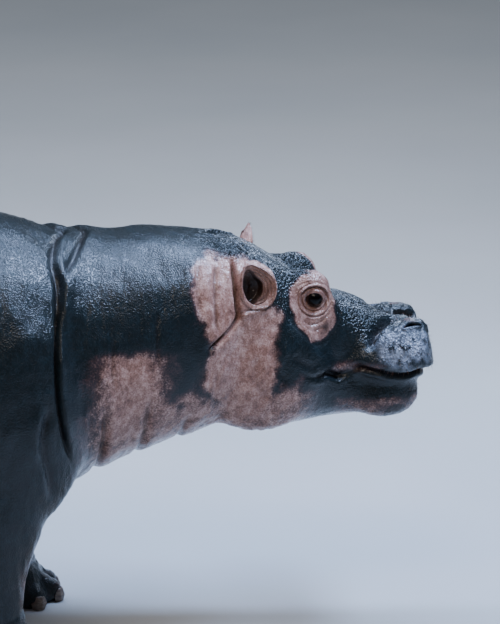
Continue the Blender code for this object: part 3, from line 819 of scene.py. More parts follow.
def press_mouth(points, normals, fold_shade, tree):
    """The line of the lips, with the upper lip hanging a little over the lower one."""
    right, left = (snapped(tree, np.add(FROM_EYE, MOUTH), side) for side in SIDES.values())
    distance, where, nearest = along_curve(points, np.vstack([right, left[::-1]]))
    ends = step(0, 0.15, where) * step(1, 0.85, where)
    above = step(-0.006, 0.006, points[:, 2] - nearest[:, 2])
    move = -0.017 * bell(distance, 0, 0.0085)
    move += 0.009 * above * bell(distance, 0.024, 0.018)
    move += 0.004 * (1 - above) * bell(distance, 0.02, 0.012)
    points += (ends * move)[:, None] * normals
    # painted shade along the line of the lips
    np.maximum(fold_shade, ends * bell(distance, 0, 0.009), out=fold_shade)


def shape_lips(points, normals):
    """The upper lip swells over the mouth and has the shallow pits that the whiskers grow from."""
    x, _, z = points.T
    front = step(EYE.x + 0.2, EYE.x + 0.27, x)
    lip = front * step(EYE.z - 0.275, EYE.z - 0.23, z) * step(EYE.z - 0.06, EYE.z - 0.12, z)
    bumps, pits = cloudy(points, 55, 2, 11), np.abs(cloudy(points, 38, 2, 12))
    points += (lip * (0.0022 * bumps - 0.0015 * pits))[:, None] * normals


TOE_GROOVES = (-41, 0, 41)  # degrees from straight ahead


def shape_toes(points):
    """Grooves between the toes and rings above them, in towards the middle of each foot."""
    for node in FEET:
        offset = points - np.array(middle(node))
        radius = np.hypot(offset[:, 0], offset[:, 1])
        near = (radius < 0.2) & (points[:, 2] < ANKLE_Z + 0.06)
        angle = np.degrees(np.arctan2(offset[:, 1], offset[:, 0]))
        low = step(0.105, 0.055, points[:, 2]) * step(0.06, 0.09, radius)
        groove = sum(bell(angle, turn, 6.5) for turn in TOE_GROOVES) * 0.011
        rings = 0.0045 * bell(points[:, 2], ANKLE_Z + 0.004, 0.008)
        rings += 0.0028 * bell(points[:, 2] - 0.02 * np.cos(np.radians(angle)), ANKLE_Z + 0.036, 0.007)
        move = near * (groove * low + rings * step(0.2, 0.15, radius))
        points[:, :2] -= (move / np.maximum(radius, 1e-6))[:, None] * offset[:, :2]


def on_ear(points):
    """1 on the cups of the ears, 0 away from them."""
    made = np.zeros(len(points))
    for side in SIDES:
        a, b, h = ear_place(side).local(points)
        made = np.maximum(made, step(0.09, 0.074, np.hypot(a * 1.15, b)) * step(-0.05, -0.03, h))
    return made


def shape_surface(points, normals):
    """Broad unevenness and fine wrinkles over the whole skin."""
    x, _, z = points.T
    head = step(HEAD_X - 0.05, HEAD_X + 0.1, x)
    feet = step(0.0, 0.02, z)
    broad = cloudy(points, 9, 2, 3) * 0.004 * (1 - 0.7 * head)
    low = step(0.75, 0.45, z) * (1 - head)
    wrinkle = -np.abs(cloudy(points * [1.0, 0.35, 0.28], 42, 2, 5))
    wrinkle = wrinkle * (0.0022 + 0.0022 * low) * (1 - 0.55 * head)
    near_eye = np.zeros(len(points))
    for side in SIDES.values():
        away = lengths_of(points - (EYE.x, side * EYE.y, EYE.z))
        near_eye = np.maximum(near_eye, step(0.055, 0.03, away))
    fine = cloudy(points, 90, 2, 7) * 0.0006 * head
    behind = step(HEAD_X - 0.1, HEAD_X, x) * step(EYE.x - 0.06, EYE.x - 0.12, x)
    behind = behind * step(EYE.z - 0.5, EYE.z - 0.4, z)
    fine += cloudy(points * [1.0, 1.0, 0.42], 62, 2, 9) * 0.0017 * behind * (1 - on_ear(points))
    points += (feet * (1 - near_eye) * (broad + wrinkle + fine))[:, None] * normals


def sculpt(skin):
    """Presses the folds into the skin, and returns how deep in one each point lies, from 0 to 1, as the
    painted shade of the folds.
    """
    mesh = skin.data
    bm = editable(mesh)
    tree = BVHTree.FromBMesh(bm)
    bm.free()
    points, normals = points_of(mesh), normals_of(mesh)
    fold_shade = np.zeros(len(points))
    press_folds(points, normals, fold_shade, tree)
    press_mouth(points, normals, fold_shade, tree)
    shape_lips(points, normals)
    shape_toes(points)
    shape_surface(points, normals)
    points[:, 2] = np.maximum(points[:, 2], 0)
    set_points(mesh, points)
    return fold_shade


# ---------------- markings

# Outlines on the side of the head: ahead of the eye, and above it
PINK_EYE = ((-0.086, 0.014), (-0.08, -0.031), (-0.064, -0.061), (-0.039, -0.098), (0.005, -0.126),
            (0.044, -0.115), (0.066, -0.085), (0.066, -0.05), (0.068, -0.01), (0.072, 0.03),
            (0.058, 0.062), (0.02, 0.082), (-0.022, 0.074), (-0.058, 0.058))
PINK_CHEEK = ((-0.215, 0.128), (-0.26, 0.145), (-0.325, 0.152), (-0.38, 0.13), (-0.405, 0.06),
              (-0.385, -0.02), (-0.352, -0.08), (-0.35, -0.12), (-0.375, -0.17), (-0.345, -0.27),
              (-0.2, -0.36), (-0.142, -0.28), (-0.14, -0.136), (-0.134, -0.095), (-0.118, -0.062),
              (-0.116, -0.038), (-0.132, -0.02), (-0.15, 0.01), (-0.165, 0.06))
TEMPLE = ((-0.33, 0.2), (-0.2, 0.17), (-0.11, 0.11), (-0.04, 0.12), (0.04, 0.105), (0.08, 0.04),
          (0.01, 0.03), (-0.08, 0.02), (-0.1, -0.04), (-0.13, -0.05), (-0.15, 0.04),
          (-0.2, 0.11), (-0.3, 0.13))
SNOUT = ((0.07, 0.06), (0.12, 0.02), (0.2, -0.06), (0.3, -0.08), (0.25, -0.13), (0.16, -0.15),
         (0.08, -0.09), (0.07, -0.01))
# Where a pale bluish wet sheen is painted over the upper lip
LIP_SHEEN = ((0.205, -0.15), (0.24, -0.125), (0.3, -0.122), (0.35, -0.14), (0.35, -0.19),
            (0.29, -0.208), (0.225, -0.208), (0.2, -0.18))
# Painted shade in hollows on the head: place from the eye, squeeze along each axis, width and strength
SHADED_HOLLOWS = (((0.03, 0.157, -0.09), (1, 1, 1), 0.012, 0.9),
              ((0.328, 0.044, -0.12), (0.45, 1, 0.8), 0.015, 1.0))


def paint(mesh, name, values):
    """Keeps a value for each point, which a material reads by its name."""
    layer = mesh.attributes.new(name, "FLOAT", "POINT")
    layer.data.foreach_set("value", values.astype(np.float32))


def patch(points, outline, soft, shift=0.0):
    """1 inside an outline on the side of the head and 0 outside; shift makes its edge ragged."""
    flat = points[:, [0, 2]] - (EYE.x, EYE.z)
    distance = np.full(len(points), 1.0)
    near = flat[:, 0] > -0.5
    distance[near] = outline_distance(flat[near], smooth_curve(outline, 5, closed=True))
    return step(soft, -soft, distance + shift)


def pink_parts(points, normals, ragged):
    """The pink of the neck, throat, belly, inner legs, lips, nostrils and chin, from 0 to 1."""
    x, y, z = points.T
    wide = np.abs(y)
    neck_low = bell(x, NECK_X + 0.195, 0.15) * step(1.015, 0.945, z + ragged * 0.014) * step(0.2, 0.3, wide)
    throat = step(0.9, 0.76, z + ragged * 0.03) * step(NECK_X - 0.1, NECK_X + 0.15, x)
    throat *= step(EYE.x + 0.12, EYE.x - 0.1, x)
    belly = step(0.5, 0.4, z + ragged * 0.03) * step(0.16, 0.22, z) * step(0.45, 0.25, wide)
    inner = step(0.05, 0.45, -normals[:, 1] * np.sign(y)) * step(0.58, 0.45, z) * step(0.1, 0.18, z)
    lips = bell(z, EYE.z - 0.222, 0.026) * step(EYE.x, EYE.x + 0.08, x) * step(EYE.x + 0.26, EYE.x + 0.18, x)
    chin = step(EYE.z - 0.3, EYE.z - 0.34, z + ragged * 0.01) * step(EYE.x, EYE.x + 0.1, x)
    nostril = np.zeros(len(points))
    for side in SIDES:
        a, b, h = nostril_place(side).local(points)
        nostril = np.maximum(nostril, bell(np.hypot(a / 1.5, b + 0.022), 0, 0.016) * step(-0.03, -0.01, h))
    nose = step(0.3, 0.62, nostril + 0.3 * cloudy(points, 70, 2, 33)) * step(EYE.x + 0.2, EYE.x + 0.26, x)
    return np.maximum.reduce([0.8 * neck_low, 0.66 * throat, 0.66 * belly, 0.6 * inner, 0.5 * lips,
                              0.42 * nose, 0.5 * chin])


def dark_spots(points):
    """Painted shade in the hollows of the head and in the wells of the nostrils, from 0 to 1."""
    dark = np.zeros(len(points))
    for side, sign in SIDES.items():
        for spot, squeeze, width, strength in SHADED_HOLLOWS:
            away = lengths_of((points - np.add(FROM_EYE, spot) * (1, sign, 1)) * squeeze)
            dark = np.maximum(dark, strength * bell(away, 0, width))
        a, b, h = nostril_place(side).local(points)
        dark = np.maximum(dark, step(-0.02, -0.026, h) * (np.hypot(a, b) < 0.035))
    return dark


def markings(skin, ears, fold_shade):
    """Pink and coarse parts, painted shade in hollows and folds, and a painted sheen on the lip, from 0 to 1
    at each point, for the skin's material.
    """
    points, normals = points_of(skin.data), normals_of(skin.data)
    x, y, _ = points.T
    wide = np.abs(y)
    ragged = cloudy(points, 26, 3, 21)
    around = patch(points, PINK_EYE, 0.014, ragged * 0.007)
    around *= step(0.082, 0.106, wide + 0.35 * np.clip(x - EYE.x, 0, 0.05))
    cheek = patch(points, PINK_CHEEK, 0.042, ragged * 0.014) * step(0.085, 0.125, wide)
    pink = np.maximum.reduce([around, cheek, pink_parts(points, normals, ragged), ears["pink"]])
    # the patch of the lip where a pale bluish sheen is painted
    lip_sheen = patch(points, LIP_SHEEN, 0.04, ragged * 0.02) * step(0.1, 0.14, wide)
    temple = patch(points, TEMPLE, 0.035, ragged * 0.01) * step(0.02, 0.05, wide)
    snout = patch(points, SNOUT, 0.04, ragged * 0.01)
    coarse = np.maximum.reduce([temple, 0.75 * snout, lip_sheen]) * (1 - 0.8 * pink) * (1 - 0.85 * fold_shade)
    paint(skin.data, "pink", pink)
    # painted shade in the hollows, the nostril wells, the ear cups and under the right ear
    paint(skin.data, "dark", np.maximum(dark_spots(points), ears["dark"]))
    # painted shade of the folds and the mouth, and a little darker all over the pink round the eye
    paint(skin.data, "fold_shade", np.maximum(fold_shade, 0.28 * around))
    paint(skin.data, "lip_sheen", lip_sheen)
    paint(skin.data, "coarse", coarse)


def part_of_rim(side, a, b):
    """How far a point lies from the middle of the hollow, as a part of the way to the rim."""
    ahead, above = from_hollow(side, *ear_rim(side, round_angles(180)))
    rim_turn = np.arctan2(above, ahead)
    order = np.argsort(rim_turn)
    ahead_of, above_of = from_hollow(side, a, b)
    turn = np.arctan2(above_of, ahead_of)
    full = np.interp(turn, rim_turn[order], np.hypot(above, ahead)[order], period=2 * math.pi)
    return np.hypot(ahead_of, above_of) / full


def cup_shade(side, points, a, b, part):
    """How much painted shade each point gets inside a cup: the deep hollow, the grooves between the ridges,
    and the rest.
    """
    hollow = step(0.09, -0.03, part - hollow_edge(side, a, b) + 0.03 * cloudy(points, 60, 2, 5))
    hollow = hollow * (1 - 0.35 * step(0.016, 0.045, b))
    grooves = 0.62 * ridged_part(side, a, b) * sum(bell(part, groove, 0.024) for groove in GROOVES)
    upward = cup_bearing(side, a, b)[1]
    shade = 0.2 * step(0.92, 0.6, part) + 0.3 * step(-0.2, -0.8, upward) * step(0.9, 0.8, part)
    return np.maximum.reduce([hollow, grooves, shade])


def ear_markings(skin):
    """The ears are pink, with painted shade inside their cups and a painted shadow under the rim of the right
    ear; each point is found in the frame of its own ear.
    """
    points = points_of(skin.data)
    cup = rows_of(skin.data.attributes["cup"].data, "value", 1, np.float32)[:, 0]
    pink = (cup > 0.25).astype(float)
    dark = np.zeros(len(points))
    for side, sign in SIDES.items():
        a, b, h = ear_place(side).local(points)
        part = part_of_rim(side, a, b)
        inside = (cup > 0.75) & (points[:, 1] * sign > 0) & (part < 0.93)
        dark = np.where(inside, np.maximum(dark, cup_shade(side, points, a, b, part)), dark)
        if side == "left":  # the skin round the root
            pink = np.maximum(pink, step(0.085, 0.06, np.sqrt(a**2 + b**2 + h**2)))
            continue
        half_a, half_b = EARS[side].half_size
        ring = np.hypot(a / half_a, b / half_b)
        level = step(-0.075, -0.05, h) * step(0.05, 0.03, h)
        pink = np.maximum(pink, level * step(1.14, 1.02, ring))
        # a painted shadow on the head just under the lower rim of the right ear
        under = 0.8 * level * bell(ring, 1.07, 0.04) * step(0.1, -0.5, b / half_b)
        dark = np.maximum(dark, under * (cup < 0.75))
    return {"pink": pink, "dark": dark}


# ---------------- materials


class Shader:
    """A material, with a short call for each kind of node."""

    def __init__(self, name):
        self.material = bpy.data.materials.new(name)
        self.material.use_nodes = True
        self.tree = self.material.node_tree
        self.tree.nodes.clear()
        self.place = self.add("TexCoord").outputs["Object"]

    def add(self, kind, inputs=None, **settings):
        node = self.tree.nodes.new("ShaderNode" + kind)
        for key, value in settings.items():
            setattr(node, key, value)
        for key, value in (inputs or {}).items():
            if isinstance(value, bpy.types.NodeSocket):
                self.tree.links.new(value, node.inputs[key])
            else:
                node.inputs[key].default_value = value
        return node

    def attribute(self, name):
        return self.add("Attribute", attribute_name=name).outputs["Fac"]

    def stretched(self, scale):
        return self.add("Mapping", {"Vector": self.place, "Scale": scale}).outputs["Vector"]

    def noise(self, scale, detail, rough, place=None, twist=0.0):
        inputs = {"Vector": place or self.place, "Scale": scale, "Detail": detail, "Roughness": rough}
        inputs["Distortion"] = twist
        return self.add("TexNoise", inputs).outputs["Fac"]

    def cells(self, scale, feature="F1", place=None):
        inputs = {"Vector": place or self.place, "Scale": scale}
        return self.add("TexVoronoi", inputs, feature=feature).outputs["Distance"]

    def math(self, operation, first, second):
        return self.add("Math", {0: first, 1: second}, operation=operation).outputs[0]

    def plus(self, first, second):
        return self.math("ADD", first, second)

    def minus(self, first, second):
        return self.math("SUBTRACT", first, second)

    def times(self, first, second):
        return self.math("MULTIPLY", first, second)

    def span(self, value, low, high, to_low=0.0, to_high=1.0):
        inputs = {"Value": value, "From Min": low, "From Max": high, "To Min": to_low, "To Max": to_high}
        return self.add("MapRange", inputs, interpolation_type="SMOOTHSTEP").outputs["Result"]

    def ramp(self, value, *stops):
        """stops are pairs of a place from 0 to 1 and a colour as six hex digits."""
        node = self.add("ValToRGB", {"Fac": value})
        set_stops(node.color_ramp.elements, stops)
        return node.outputs["Color"]

    def mix(self, part, first, second):
        node = self.add("Mix", {"Factor": part}, data_type="RGBA")
        for socket, value in ((node.inputs[6], first), (node.inputs[7], second)):
            if isinstance(value, bpy.types.NodeSocket):
                self.tree.links.new(value, socket)
            else:
                socket.default_value = linear(value)
        return node.outputs[2]

    def bump(self, height, depth, strength, under=None):
        inputs = {"Height": height, "Distance": depth, "Strength": strength}
        if under is not None:
            inputs["Normal"] = under
        return self.add("Bump", inputs).outputs["Normal"]

    def surface(self, colour, roughness, normal, **constants):
        body = self.add("BsdfPrincipled", {"Base Color": colour, "Roughness": roughness, "Normal": normal})
        for key, value in constants.items():
            body.inputs[key.replace("_", " ")].default_value = value
        if "Coat_Weight" in constants:
            self.tree.links.new(normal, body.inputs["Coat Normal"])
        out = self.add("OutputMaterial")
        self.tree.links.new(body.outputs[0], out.inputs["Surface"])
        return self.material


def linear(colour):
    """Six hex digits as a linear colour."""
    parts = [int(colour[i : i + 2], 16) / 255 for i in (0, 2, 4)]
    return (*(p / 12.92 if p <= 0.04045 else ((p + 0.055) / 1.055) ** 2.4 for p in parts), 1.0)


def set_stops(elements, stops):
    while len(elements) < len(stops):
        elements.new(0.5)
    for element, (where, colour) in zip(elements, stops):
        element.position = where
        element.color = linear(colour)


def skin_material():
    """Wet hide: dark slate with a fine pebbled grain, and smoother mottled pink."""
    s = Shader("hippopotamus_hide")
    mottle = s.noise(24.0, 5.0, 0.62, twist=0.4)
    speck = s.noise(190.0, 3.0, 0.6)
    blotch = s.noise(48.0, 5.0, 0.68, s.stretched((1.0, 1.0, 0.7)))
    raggedness = s.plus(s.times(s.minus(mottle, 0.5), 0.6), s.times(s.minus(speck, 0.5), 0.45))
    pinkness = s.span(s.plus(s.attribute("pink"), raggedness), 0.15, 0.85)
    colour = hide_colour(s, mottle, speck, blotch, pinkness)
    depth = s.minus(1.0, s.times(pinkness, 0.35))
    cracks = s.span(s.cells(62.0, "DISTANCE_TO_EDGE", s.stretched((1.0, 0.7, 0.45))), 0.0, 0.12)
    pebbles, warts = (s.span(s.cells(scale, place=s.stretched((1.0, 1.0, 0.8))), 0.0, 0.75, 1.0, 0.0)
                      for scale in (225.0, 135.0))
    normal = s.bump(s.times(cracks, depth), 0.0006, 0.4)
    normal = s.bump(s.times(pebbles, depth), 0.0014, 0.65, normal)
    normal = s.bump(s.times(warts, s.attribute("coarse")), 0.005, 1.0, normal)
    normal = s.bump(s.noise(560.0, 3.0, 0.6), 0.0005, 0.5, normal)
    return s.surface(colour, s.span(speck, 0.25, 0.7, 0.36, 0.58), normal, Coat_Weight=0.9, Coat_IOR=1.42,
                     Coat_Roughness=0.11, Specular_IOR_Level=0.12)


def hide_colour(s, mottle, speck, blotch, pinkness):
    """Slate with a painted bluish wet sheen in blotches on the lip, freckled rose where it is pink, and
    painted shade in its folds and hollows.
    """
    slate = s.ramp(s.plus(s.times(mottle, 0.5), s.times(speck, 0.5)),
                   (0.3, "040b0d"), (0.5, "091519"), (0.68, "14252c"))
    # painted sheen: blotches of the lip made pale bluish white, as light off its wet film
    lip_sheen_part = s.times(s.attribute("lip_sheen"), s.span(s.plus(blotch, mottle), 0.76, 1.18))
    slate = s.mix(s.times(lip_sheen_part, 0.88), slate, "b3bbcd")
    flush = s.plus(s.times(blotch, 0.45), s.times(mottle, 0.25))
    rose = s.ramp(s.plus(flush, s.times(speck, 0.3)), (0.36, "65443c"), (0.49, "9e7568"), (0.63, "cfaa9f"))
    freckles = s.span(s.cells(210.0), 0.28, 0.12)
    rose = s.mix(s.times(freckles, s.span(mottle, 0.45, 0.62, 0.05, 0.6)), rose, "4a3532")
    between = s.mix(s.span(pinkness, 0.0, 0.5), slate, "3f2b2b")
    colour = s.mix(s.span(pinkness, 0.35, 1.0), between, rose)
    # painted shade: brown-black in the folds and along the mouth
    colour = s.mix(s.times(s.attribute("fold_shade"), 0.7), colour, "150a09")
    # painted shade: near black in the hollows, the nostril wells, the ear cups and under the right ear
    return s.mix(s.times(s.attribute("dark"), 0.94), colour, "120a09")


def eye_material():
    """A dark brown iris round a black pupil, with a paler edge at the side of the ball."""
    s = Shader("eye_brown")
    fibres = s.noise(900.0, 4.0, 0.6)
    place = s.plus(s.attribute("ring"), s.times(s.minus(fibres, 0.5), 0.05))
    colour = s.ramp(place, (0.28, "010101"), (0.36, "050303"), (0.46, "100a07"), (0.54, "050303"),
                    (0.66, "2a1c18"), (0.82, "4d3630"))
    normal = s.bump(fibres, 0.00005, 0.2)
    return s.surface(colour, s.span(fibres, 0.3, 0.7, 0.14, 0.22), normal, Coat_Weight=0.12,
                     Coat_Roughness=0.1, Specular_IOR_Level=0.1)


def nail_material():
    """Worn horn with fine level lines and chips."""
    s = Shader("nail_horn")
    lines = s.noise(30.0, 4.0, 0.6, s.stretched((1.0, 1.0, 9.0)))
    chips = s.noise(160.0, 4.0, 0.65)
    colour = s.ramp(s.plus(s.times(lines, 0.6), s.times(chips, 0.4)),
                    (0.32, "4a3c34"), (0.5, "75655a"), (0.68, "978778"))
    normal = s.bump(s.plus(lines, chips), 0.0012, 0.6)
    return s.surface(colour, s.span(chips, 0.3, 0.7, 0.35, 0.6), normal, Coat_Weight=0.2, Coat_Roughness=0.3)


def bristle_material():
    """Stiff brown hair, from dark to fair."""
    s = Shader("bristle_brown")
    shade = s.noise(45.0, 2.0, 0.5)
    colour = s.ramp(shade, (0.35, "2a1812"), (0.55, "5e3a29"), (0.7, "8a6048"))
    normal = s.bump(s.noise(900.0, 2.0, 0.5), 0.0001, 0.3)
    return s.surface(colour, 0.42, normal, Coat_Weight=0.1, Coat_Roughness=0.3)


def floor_material():
    """A plain pale matt floor."""
    s = Shader("studio_floor")
    cloud = s.noise(0.7, 4.0, 0.5)
    colour = s.ramp(cloud, (0.35, "aeb0b0"), (0.65, "b5b6b5"))
    normal = s.bump(s.noise(240.0, 2.0, 0.5), 0.0004, 0.2)
    return s.surface(colour, 0.72, normal)


# ---------------- the other pieces


def finished(made, material):
    """Smooth, with its material, riding on the root."""
    for face in made.data.polygons:
        face.use_smooth = True
    made.data.materials.clear()
    made.data.materials.append(material)
    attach(made, "root")


EYEBALL_SEGMENTS, EYEBALL_RINGS = 64, 45
CORNEA = 0.0007  # how far the clear front of an eye stands out
NAIL_VOXEL, NAIL_SWELL = 0.0026, 0.0008
SPIKE_RINGS, SPIKE_SIDES = 5, 3
BAKE_PATCH = 0.003  # the part of the unwrap that a bristle takes up


def eye_piece(side, material):
    """An eyeball with a clear front; ring is the angle from its gaze, 1 at the side."""
    place = eye_place(side)
    compass = round_angles(EYEBALL_SEGMENTS)
    bm = bmesh.new()
    loops = []
    for polar in np.linspace(0, math.pi, EYEBALL_RINGS)[1:-1]:
        radius = EYE_RADIUS + CORNEA * step(0.62, 0.2, polar)
        loops.append([bm.verts.new(p) for p in on_ball(place, radius, polar, compass)])
    join_loops(bm, loops)
    for loop, polar, radius in ((loops[0], 0.0, EYE_RADIUS + CORNEA), (loops[-1], math.pi, EYE_RADIUS)):
        close_loop(bm, loop, bm.verts.new(on_ball(place, radius, polar, 0.0)))
    bmesh.ops.recalc_face_normals(bm, faces=bm.faces)
    name = f"eyeball_{side}"
    made = new_object(name, write(bm, bpy.data.meshes.new(name)))
    offset = points_of(made.data) - place.origin
    cosine = np.clip(offset @ place.h / lengths_of(offset), -1, 1)
    paint(made.data, "ring", np.arccos(cosine) / (math.pi / 2))
    finished(made, material)
    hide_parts(f"eye_{side}")


def nail_piece(node, material):
    """A nail rounded off from its solid, still flat on the floor."""
    made = new_object(node.replace("nail_", "toenail_"), write(welded(node), bpy.data.meshes.new(node)))
    remesh(made, NAIL_VOXEL)
    mesh = made.data
    points = relaxed(points_of(mesh), edges_of(mesh), 12) + normals_of(mesh) * NAIL_SWELL
    points[:, 2] = np.maximum(points[:, 2], 0)
    set_points(mesh, points)
    finished(made, material)
    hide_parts(node)


def spike_faces():
    """The faces of one bristle, whose last point is its tip."""
    faces = []
    for k in range(SPIKE_RINGS):
        for j in range(SPIKE_SIDES):
            here, beside = k * SPIKE_SIDES + j, k * SPIKE_SIDES + (j + 1) % SPIKE_SIDES
            if k < SPIKE_RINGS - 1:
                faces.append((here, beside, beside + SPIKE_SIDES, here + SPIKE_SIDES))
            else:
                faces.append((here, beside, SPIKE_RINGS * SPIKE_SIDES))
    return [*faces, tuple(reversed(range(SPIKE_SIDES)))]


def tufts(name, roots, lean, lengths, thick, bend, unwrap, material):
    """Bristles as thin bent spikes. unwrap gives each root's place on the bristles' own unwrap."""
    lean = lean / lengths_of(lean)[:, None]
    across = np.cross(lean, [0.3, 0.2, 0.93])
    across /= lengths_of(across)[:, None]
    other = np.cross(lean, across)
    size = SPIKE_RINGS * SPIKE_SIDES + 1
    points = np.empty((len(roots), size, 3))
    for k, t in enumerate(np.linspace(0, 1, SPIKE_RINGS + 1)):
        spine = roots + lean * (lengths * t)[:, None] + bend * (lengths * t * t)[:, None]
        for j in range(SPIKE_SIDES if k < SPIKE_RINGS else 0):
            turn = 2 * math.pi * j / SPIKE_SIDES
            ring = math.cos(turn) * across + math.sin(turn) * other
            points[:, k * SPIKE_SIDES + j] = spine + ring * (thick * (1 - 0.85 * t))[:, None]
    points[:, -1] = spine
    faces = spike_faces()
    mesh = bpy.data.meshes.new(name)
    all_faces = [tuple(i + c * size for i in face) for c in range(len(roots)) for face in faces]
    mesh.from_pydata(points.reshape(-1, 3).tolist(), [], all_faces)
    local = [((i % SPIKE_SIDES) / SPIKE_SIDES, (i // SPIKE_SIDES) / SPIKE_RINGS) for i in range(size)]
    corners = np.array([local[i] for face in faces for i in face]) * BAKE_PATCH
    uv = (unwrap[:, None, :] * (1 - BAKE_PATCH) + corners[None]).reshape(-1)
    mesh.uv_layers.new(name="OFBake").data.foreach_set("uv", uv.astype(np.float32))
    finished(new_object(name, mesh), material)


def spread(rng, points, wanted, count, apart):
    """Some of the wanted points, at least this far apart."""
    chosen = []
    for i in rng.permutation(np.flatnonzero(wanted)):
        if len(chosen) >= count:
            break
        if not chosen or lengths_of(points[chosen] - points[i]).min() >= apart:
            chosen.append(i)
    return np.array(chosen)


def round_unwrap(roots, low, high):
    """Where bristles lie on an unwrap of a box: round its long axis, and along it."""
    turn = np.arctan2(roots[:, 1], roots[:, 2] - (low[2] + high[2]) / 2) / (2 * math.pi) + 0.5
    along = (roots[:, 0] - low[0]) / (high[0] - low[0])
    return np.stack([turn, np.clip(along, 0, 1)], axis=1)


def whiskers(skin, material):
    """Stiff bristles on the upper lip and over the nostrils, sparser on the lower lip."""
    rng = np.random.default_rng(7)
    points, normals = points_of(skin.data), normals_of(skin.data)
    x, y, z = points.T
    lip = (x > EYE.x + 0.2) & (z > EYE.z - 0.25) & (z < EYE.z - 0.135) & (normals[:, 2] < 0.85)
    nose = (x > EYE.x + 0.25) & (z > EYE.z - 0.14) & (np.abs(y) > 0.025) & (normals[:, 2] > 0.3)
    chin = (x > EYE.x + 0.12) & (z < EYE.z - 0.29) & (z > EYE.z - 0.38)
    for name, zone, count, apart, longest in (("whiskers_upper_lip", lip, 300, 0.0125, 0.02),
                                              ("whiskers_nose", nose, 150, 0.0095, 0.022),
                                              ("whiskers_chin", chin, 150, 0.015, 0.015)):
        chosen = spread(rng, points, zone, count, apart)
        roots = points[chosen] - normals[chosen] * 0.0008
        lean = normals[chosen] + rng.normal(0, 0.16, roots.shape) + [-0.1, 0, -0.12]
        lengths = longest * rng.uniform(0.45, 1.0, len(chosen))
        thick = rng.uniform(0.00035, 0.0006, len(chosen))
        unwrap = round_unwrap(roots, *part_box("head"))
        tufts(name, roots, lean, lengths, thick, np.array([-0.15, 0, -0.3]), unwrap, material)


def ear_hairs(material):
    """Short hairs along the rims of the ears."""
    rng = np.random.default_rng(11)
    for side in SIDES:
        place = ear_place(side)
        angles = np.sort(rng.uniform(0, 2 * math.pi, 170))
        rim_a, rim_b = ear_rim(side, angles)
        grow = rng.uniform(0.93, 0.99, len(angles))
        height = rim_height(side, angles) + 0.0018 * EARS[side].depth / DEEP_CUP
        roots = place.world(rim_a * grow, rim_b * grow, height)
        out = place.world(rim_a * 1.3, rim_b * 1.3, height + 0.016) - roots
        lean = out / lengths_of(out)[:, None] + rng.normal(0, 0.25, roots.shape)
        lengths = rng.uniform(0.005, 0.011, len(angles))
        thick = rng.uniform(0.0002, 0.0004, len(angles))
        unwrap = np.stack([angles / (2 * math.pi), np.full(len(angles), 0.5)], axis=1)
        tufts(f"ear_hairs_{side}", roots, lean, lengths, thick, np.array([0, 0, -0.2]), unwrap, material)


def tail_hairs(skin, material):
    """Two combs of bristles along the edges of the flat end of the tail."""
    rng = np.random.default_rng(13)
    points, normals = points_of(skin.data), normals_of(skin.data)
    x, _, z = points.T
    low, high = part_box("tail")
    edge = (x < high.x - 0.02) & (x < RUMP_X) & (z < low.z + 0.17) & (z > low.z - 0.01)
    edge &= (np.abs(normals[:, 0]) > 0.55) | (z < low.z + 0.03)
    chosen = spread(rng, points, edge, 240, 0.0022)
    roots = points[chosen] - normals[chosen] * 0.0006
    lean = normals[chosen] * [0.8, 0.4, 0.5] + rng.normal(0, 0.15, roots.shape) + [0, 0, -0.9]
    lengths = rng.uniform(0.02, 0.045, len(chosen))
    thick = rng.uniform(0.0005, 0.0009, len(chosen))
    unwrap = round_unwrap(roots, low, high)
    tufts("tail_bristles", roots, lean, lengths, thick, np.array([0, 0, -0.25]), unwrap, material)


# ---------------- the stage


def aim(item, target):
    """Turns a lamp or camera to look at the target."""
    away = item.location - Vector(target)
    item.rotation_euler = away.to_track_quat("Z", "Y").to_euler()


def orbit(target, azimuth, elevation, distance):
    """A place round the target: azimuth 0 is the animal's right side, and 90 is ahead of it."""
    a, e = math.radians(azimuth), math.radians(elevation)
    away = Vector((math.sin(a) * math.cos(e), -math.cos(a) * math.cos(e), math.sin(e)))
    return Vector(target) + away * distance


def lamp(name, target, azimuth, elevation, distance, size, power, colour):
    """A soft square of light, aimed at its target from this far away."""
    data = bpy.data.lights.new(name, "AREA")
    data.shape = "RECTANGLE"
    data.size, data.size_y = size
    data.energy = power
    data.color = linear(colour)[:3]
    made = new_object(name, data)
    made.location = orbit(target, azimuth, elevation, distance)
    aim(made, target)
    return made


def floor():
    """The plain floor, which isn't part of the animal."""
    grid = bmesh.new()
    bmesh.ops.create_grid(grid, x_segments=8, y_segments=8, size=30)
    made = new_object("floor", write(grid, bpy.data.meshes.new("floor")))
    made.data.materials.append(floor_material())


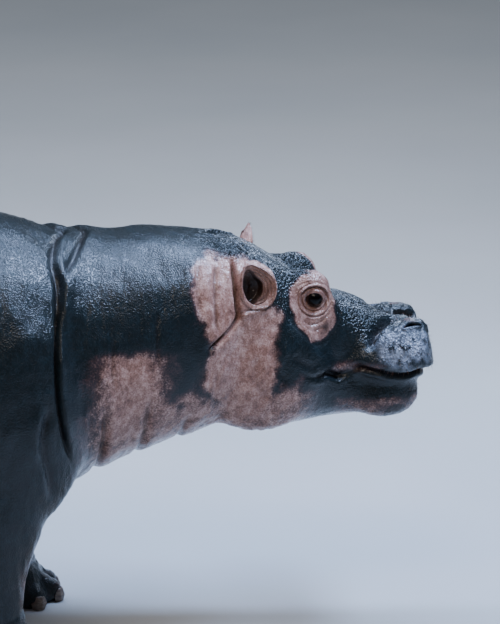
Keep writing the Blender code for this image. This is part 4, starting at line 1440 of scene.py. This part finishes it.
def world():
    """A dome that is brightest overhead, like a clear sky with its light spread out."""
    made = bpy.data.worlds.new("studio")
    made.use_nodes = True
    tree = made.node_tree
    place = tree.nodes.new("ShaderNodeTexCoord")
    parts = tree.nodes.new("ShaderNodeSeparateXYZ")
    ramp = tree.nodes.new("ShaderNodeValToRGB")
    back = tree.nodes["Background"]
    back.inputs["Strength"].default_value = 0.5
    set_stops(ramp.color_ramp.elements, ((0.0, "666b70"), (0.5, "8d97a3"), (1.0, "dbe6f5")))
    tree.links.new(place.outputs["Generated"], parts.inputs[0])
    tree.links.new(parts.outputs["Z"], ramp.inputs["Fac"])
    tree.links.new(ramp.outputs["Color"], back.inputs["Color"])
    bpy.context.scene.world = made


def lamps():
    """A broad sky overhead and ahead, a warm fill, a small rim light and a wash over the backdrop."""
    head = (EYE.x - 0.2, 0.0, EYE.z)
    body = (EYE.x - 0.9, 0.0, EYE.z)
    snout = (EYE.x + 0.15, 0.0, EYE.z)
    lamp("overhead", body, 169, 71, 4.6, (6.0, 0.7), 560, "b0cbfb")
    lamp("sky_ahead", head, 78, 60, 3.4, (1.6, 0.8), 270, "b4cefb")
    lamp("front_fill", head, -25, 50, 7.0, (3.5, 2.0), 165, "ffeddb")
    lamp("rim", snout, 157, 15, 3.0, (0.8, 0.4), 14, "c6dafd")
    wash = lamp("backdrop_wash", head, 180, 50, 4.6, (7.0, 3.0), 260, "f2f4f8")
    aim(wash, (head[0], 7.5, 0.0))


VIEW_TARGET = (0.963, 0.0, 0.993)
VIEW_AZIMUTH, VIEW_ELEVATION, VIEW_DISTANCE = -11.0, 16.0, 12.0
VIEW_HEIGHT = 1.9344  # how much of the scene the picture's long side takes in, at the target


def camera():
    """The photo's view: from the animal's right, a little behind it and from above."""
    data = bpy.data.cameras.new("camera")
    data.sensor_width = 36.0
    data.lens = data.sensor_width * VIEW_DISTANCE / VIEW_HEIGHT
    made = new_object("camera", data)
    made.location = orbit(VIEW_TARGET, VIEW_AZIMUTH, VIEW_ELEVATION, VIEW_DISTANCE)
    aim(made, VIEW_TARGET)
    bpy.context.scene.camera = made


def animal():
    """The skin, and then the pieces that lie in it or grow from it."""
    skin = base_skin()
    smooth_base(skin)
    add_patches(skin)
    fold_shade = sculpt(skin)
    ears = ear_markings(skin)
    markings(skin, ears, fold_shade)
    finished(skin, skin_material())
    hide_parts(*FLESH)
    eye = eye_material()
    for side in SIDES:
        eye_piece(side, eye)
    nail = nail_material()
    for node in sorted(n for n in frame["nodes"] if n.startswith("nail_")):
        nail_piece(node, nail)
    bristle = bristle_material()
    whiskers(skin, bristle)
    ear_hairs(bristle)
    tail_hairs(skin, bristle)


animal()
floor()
world()
lamps()
camera()
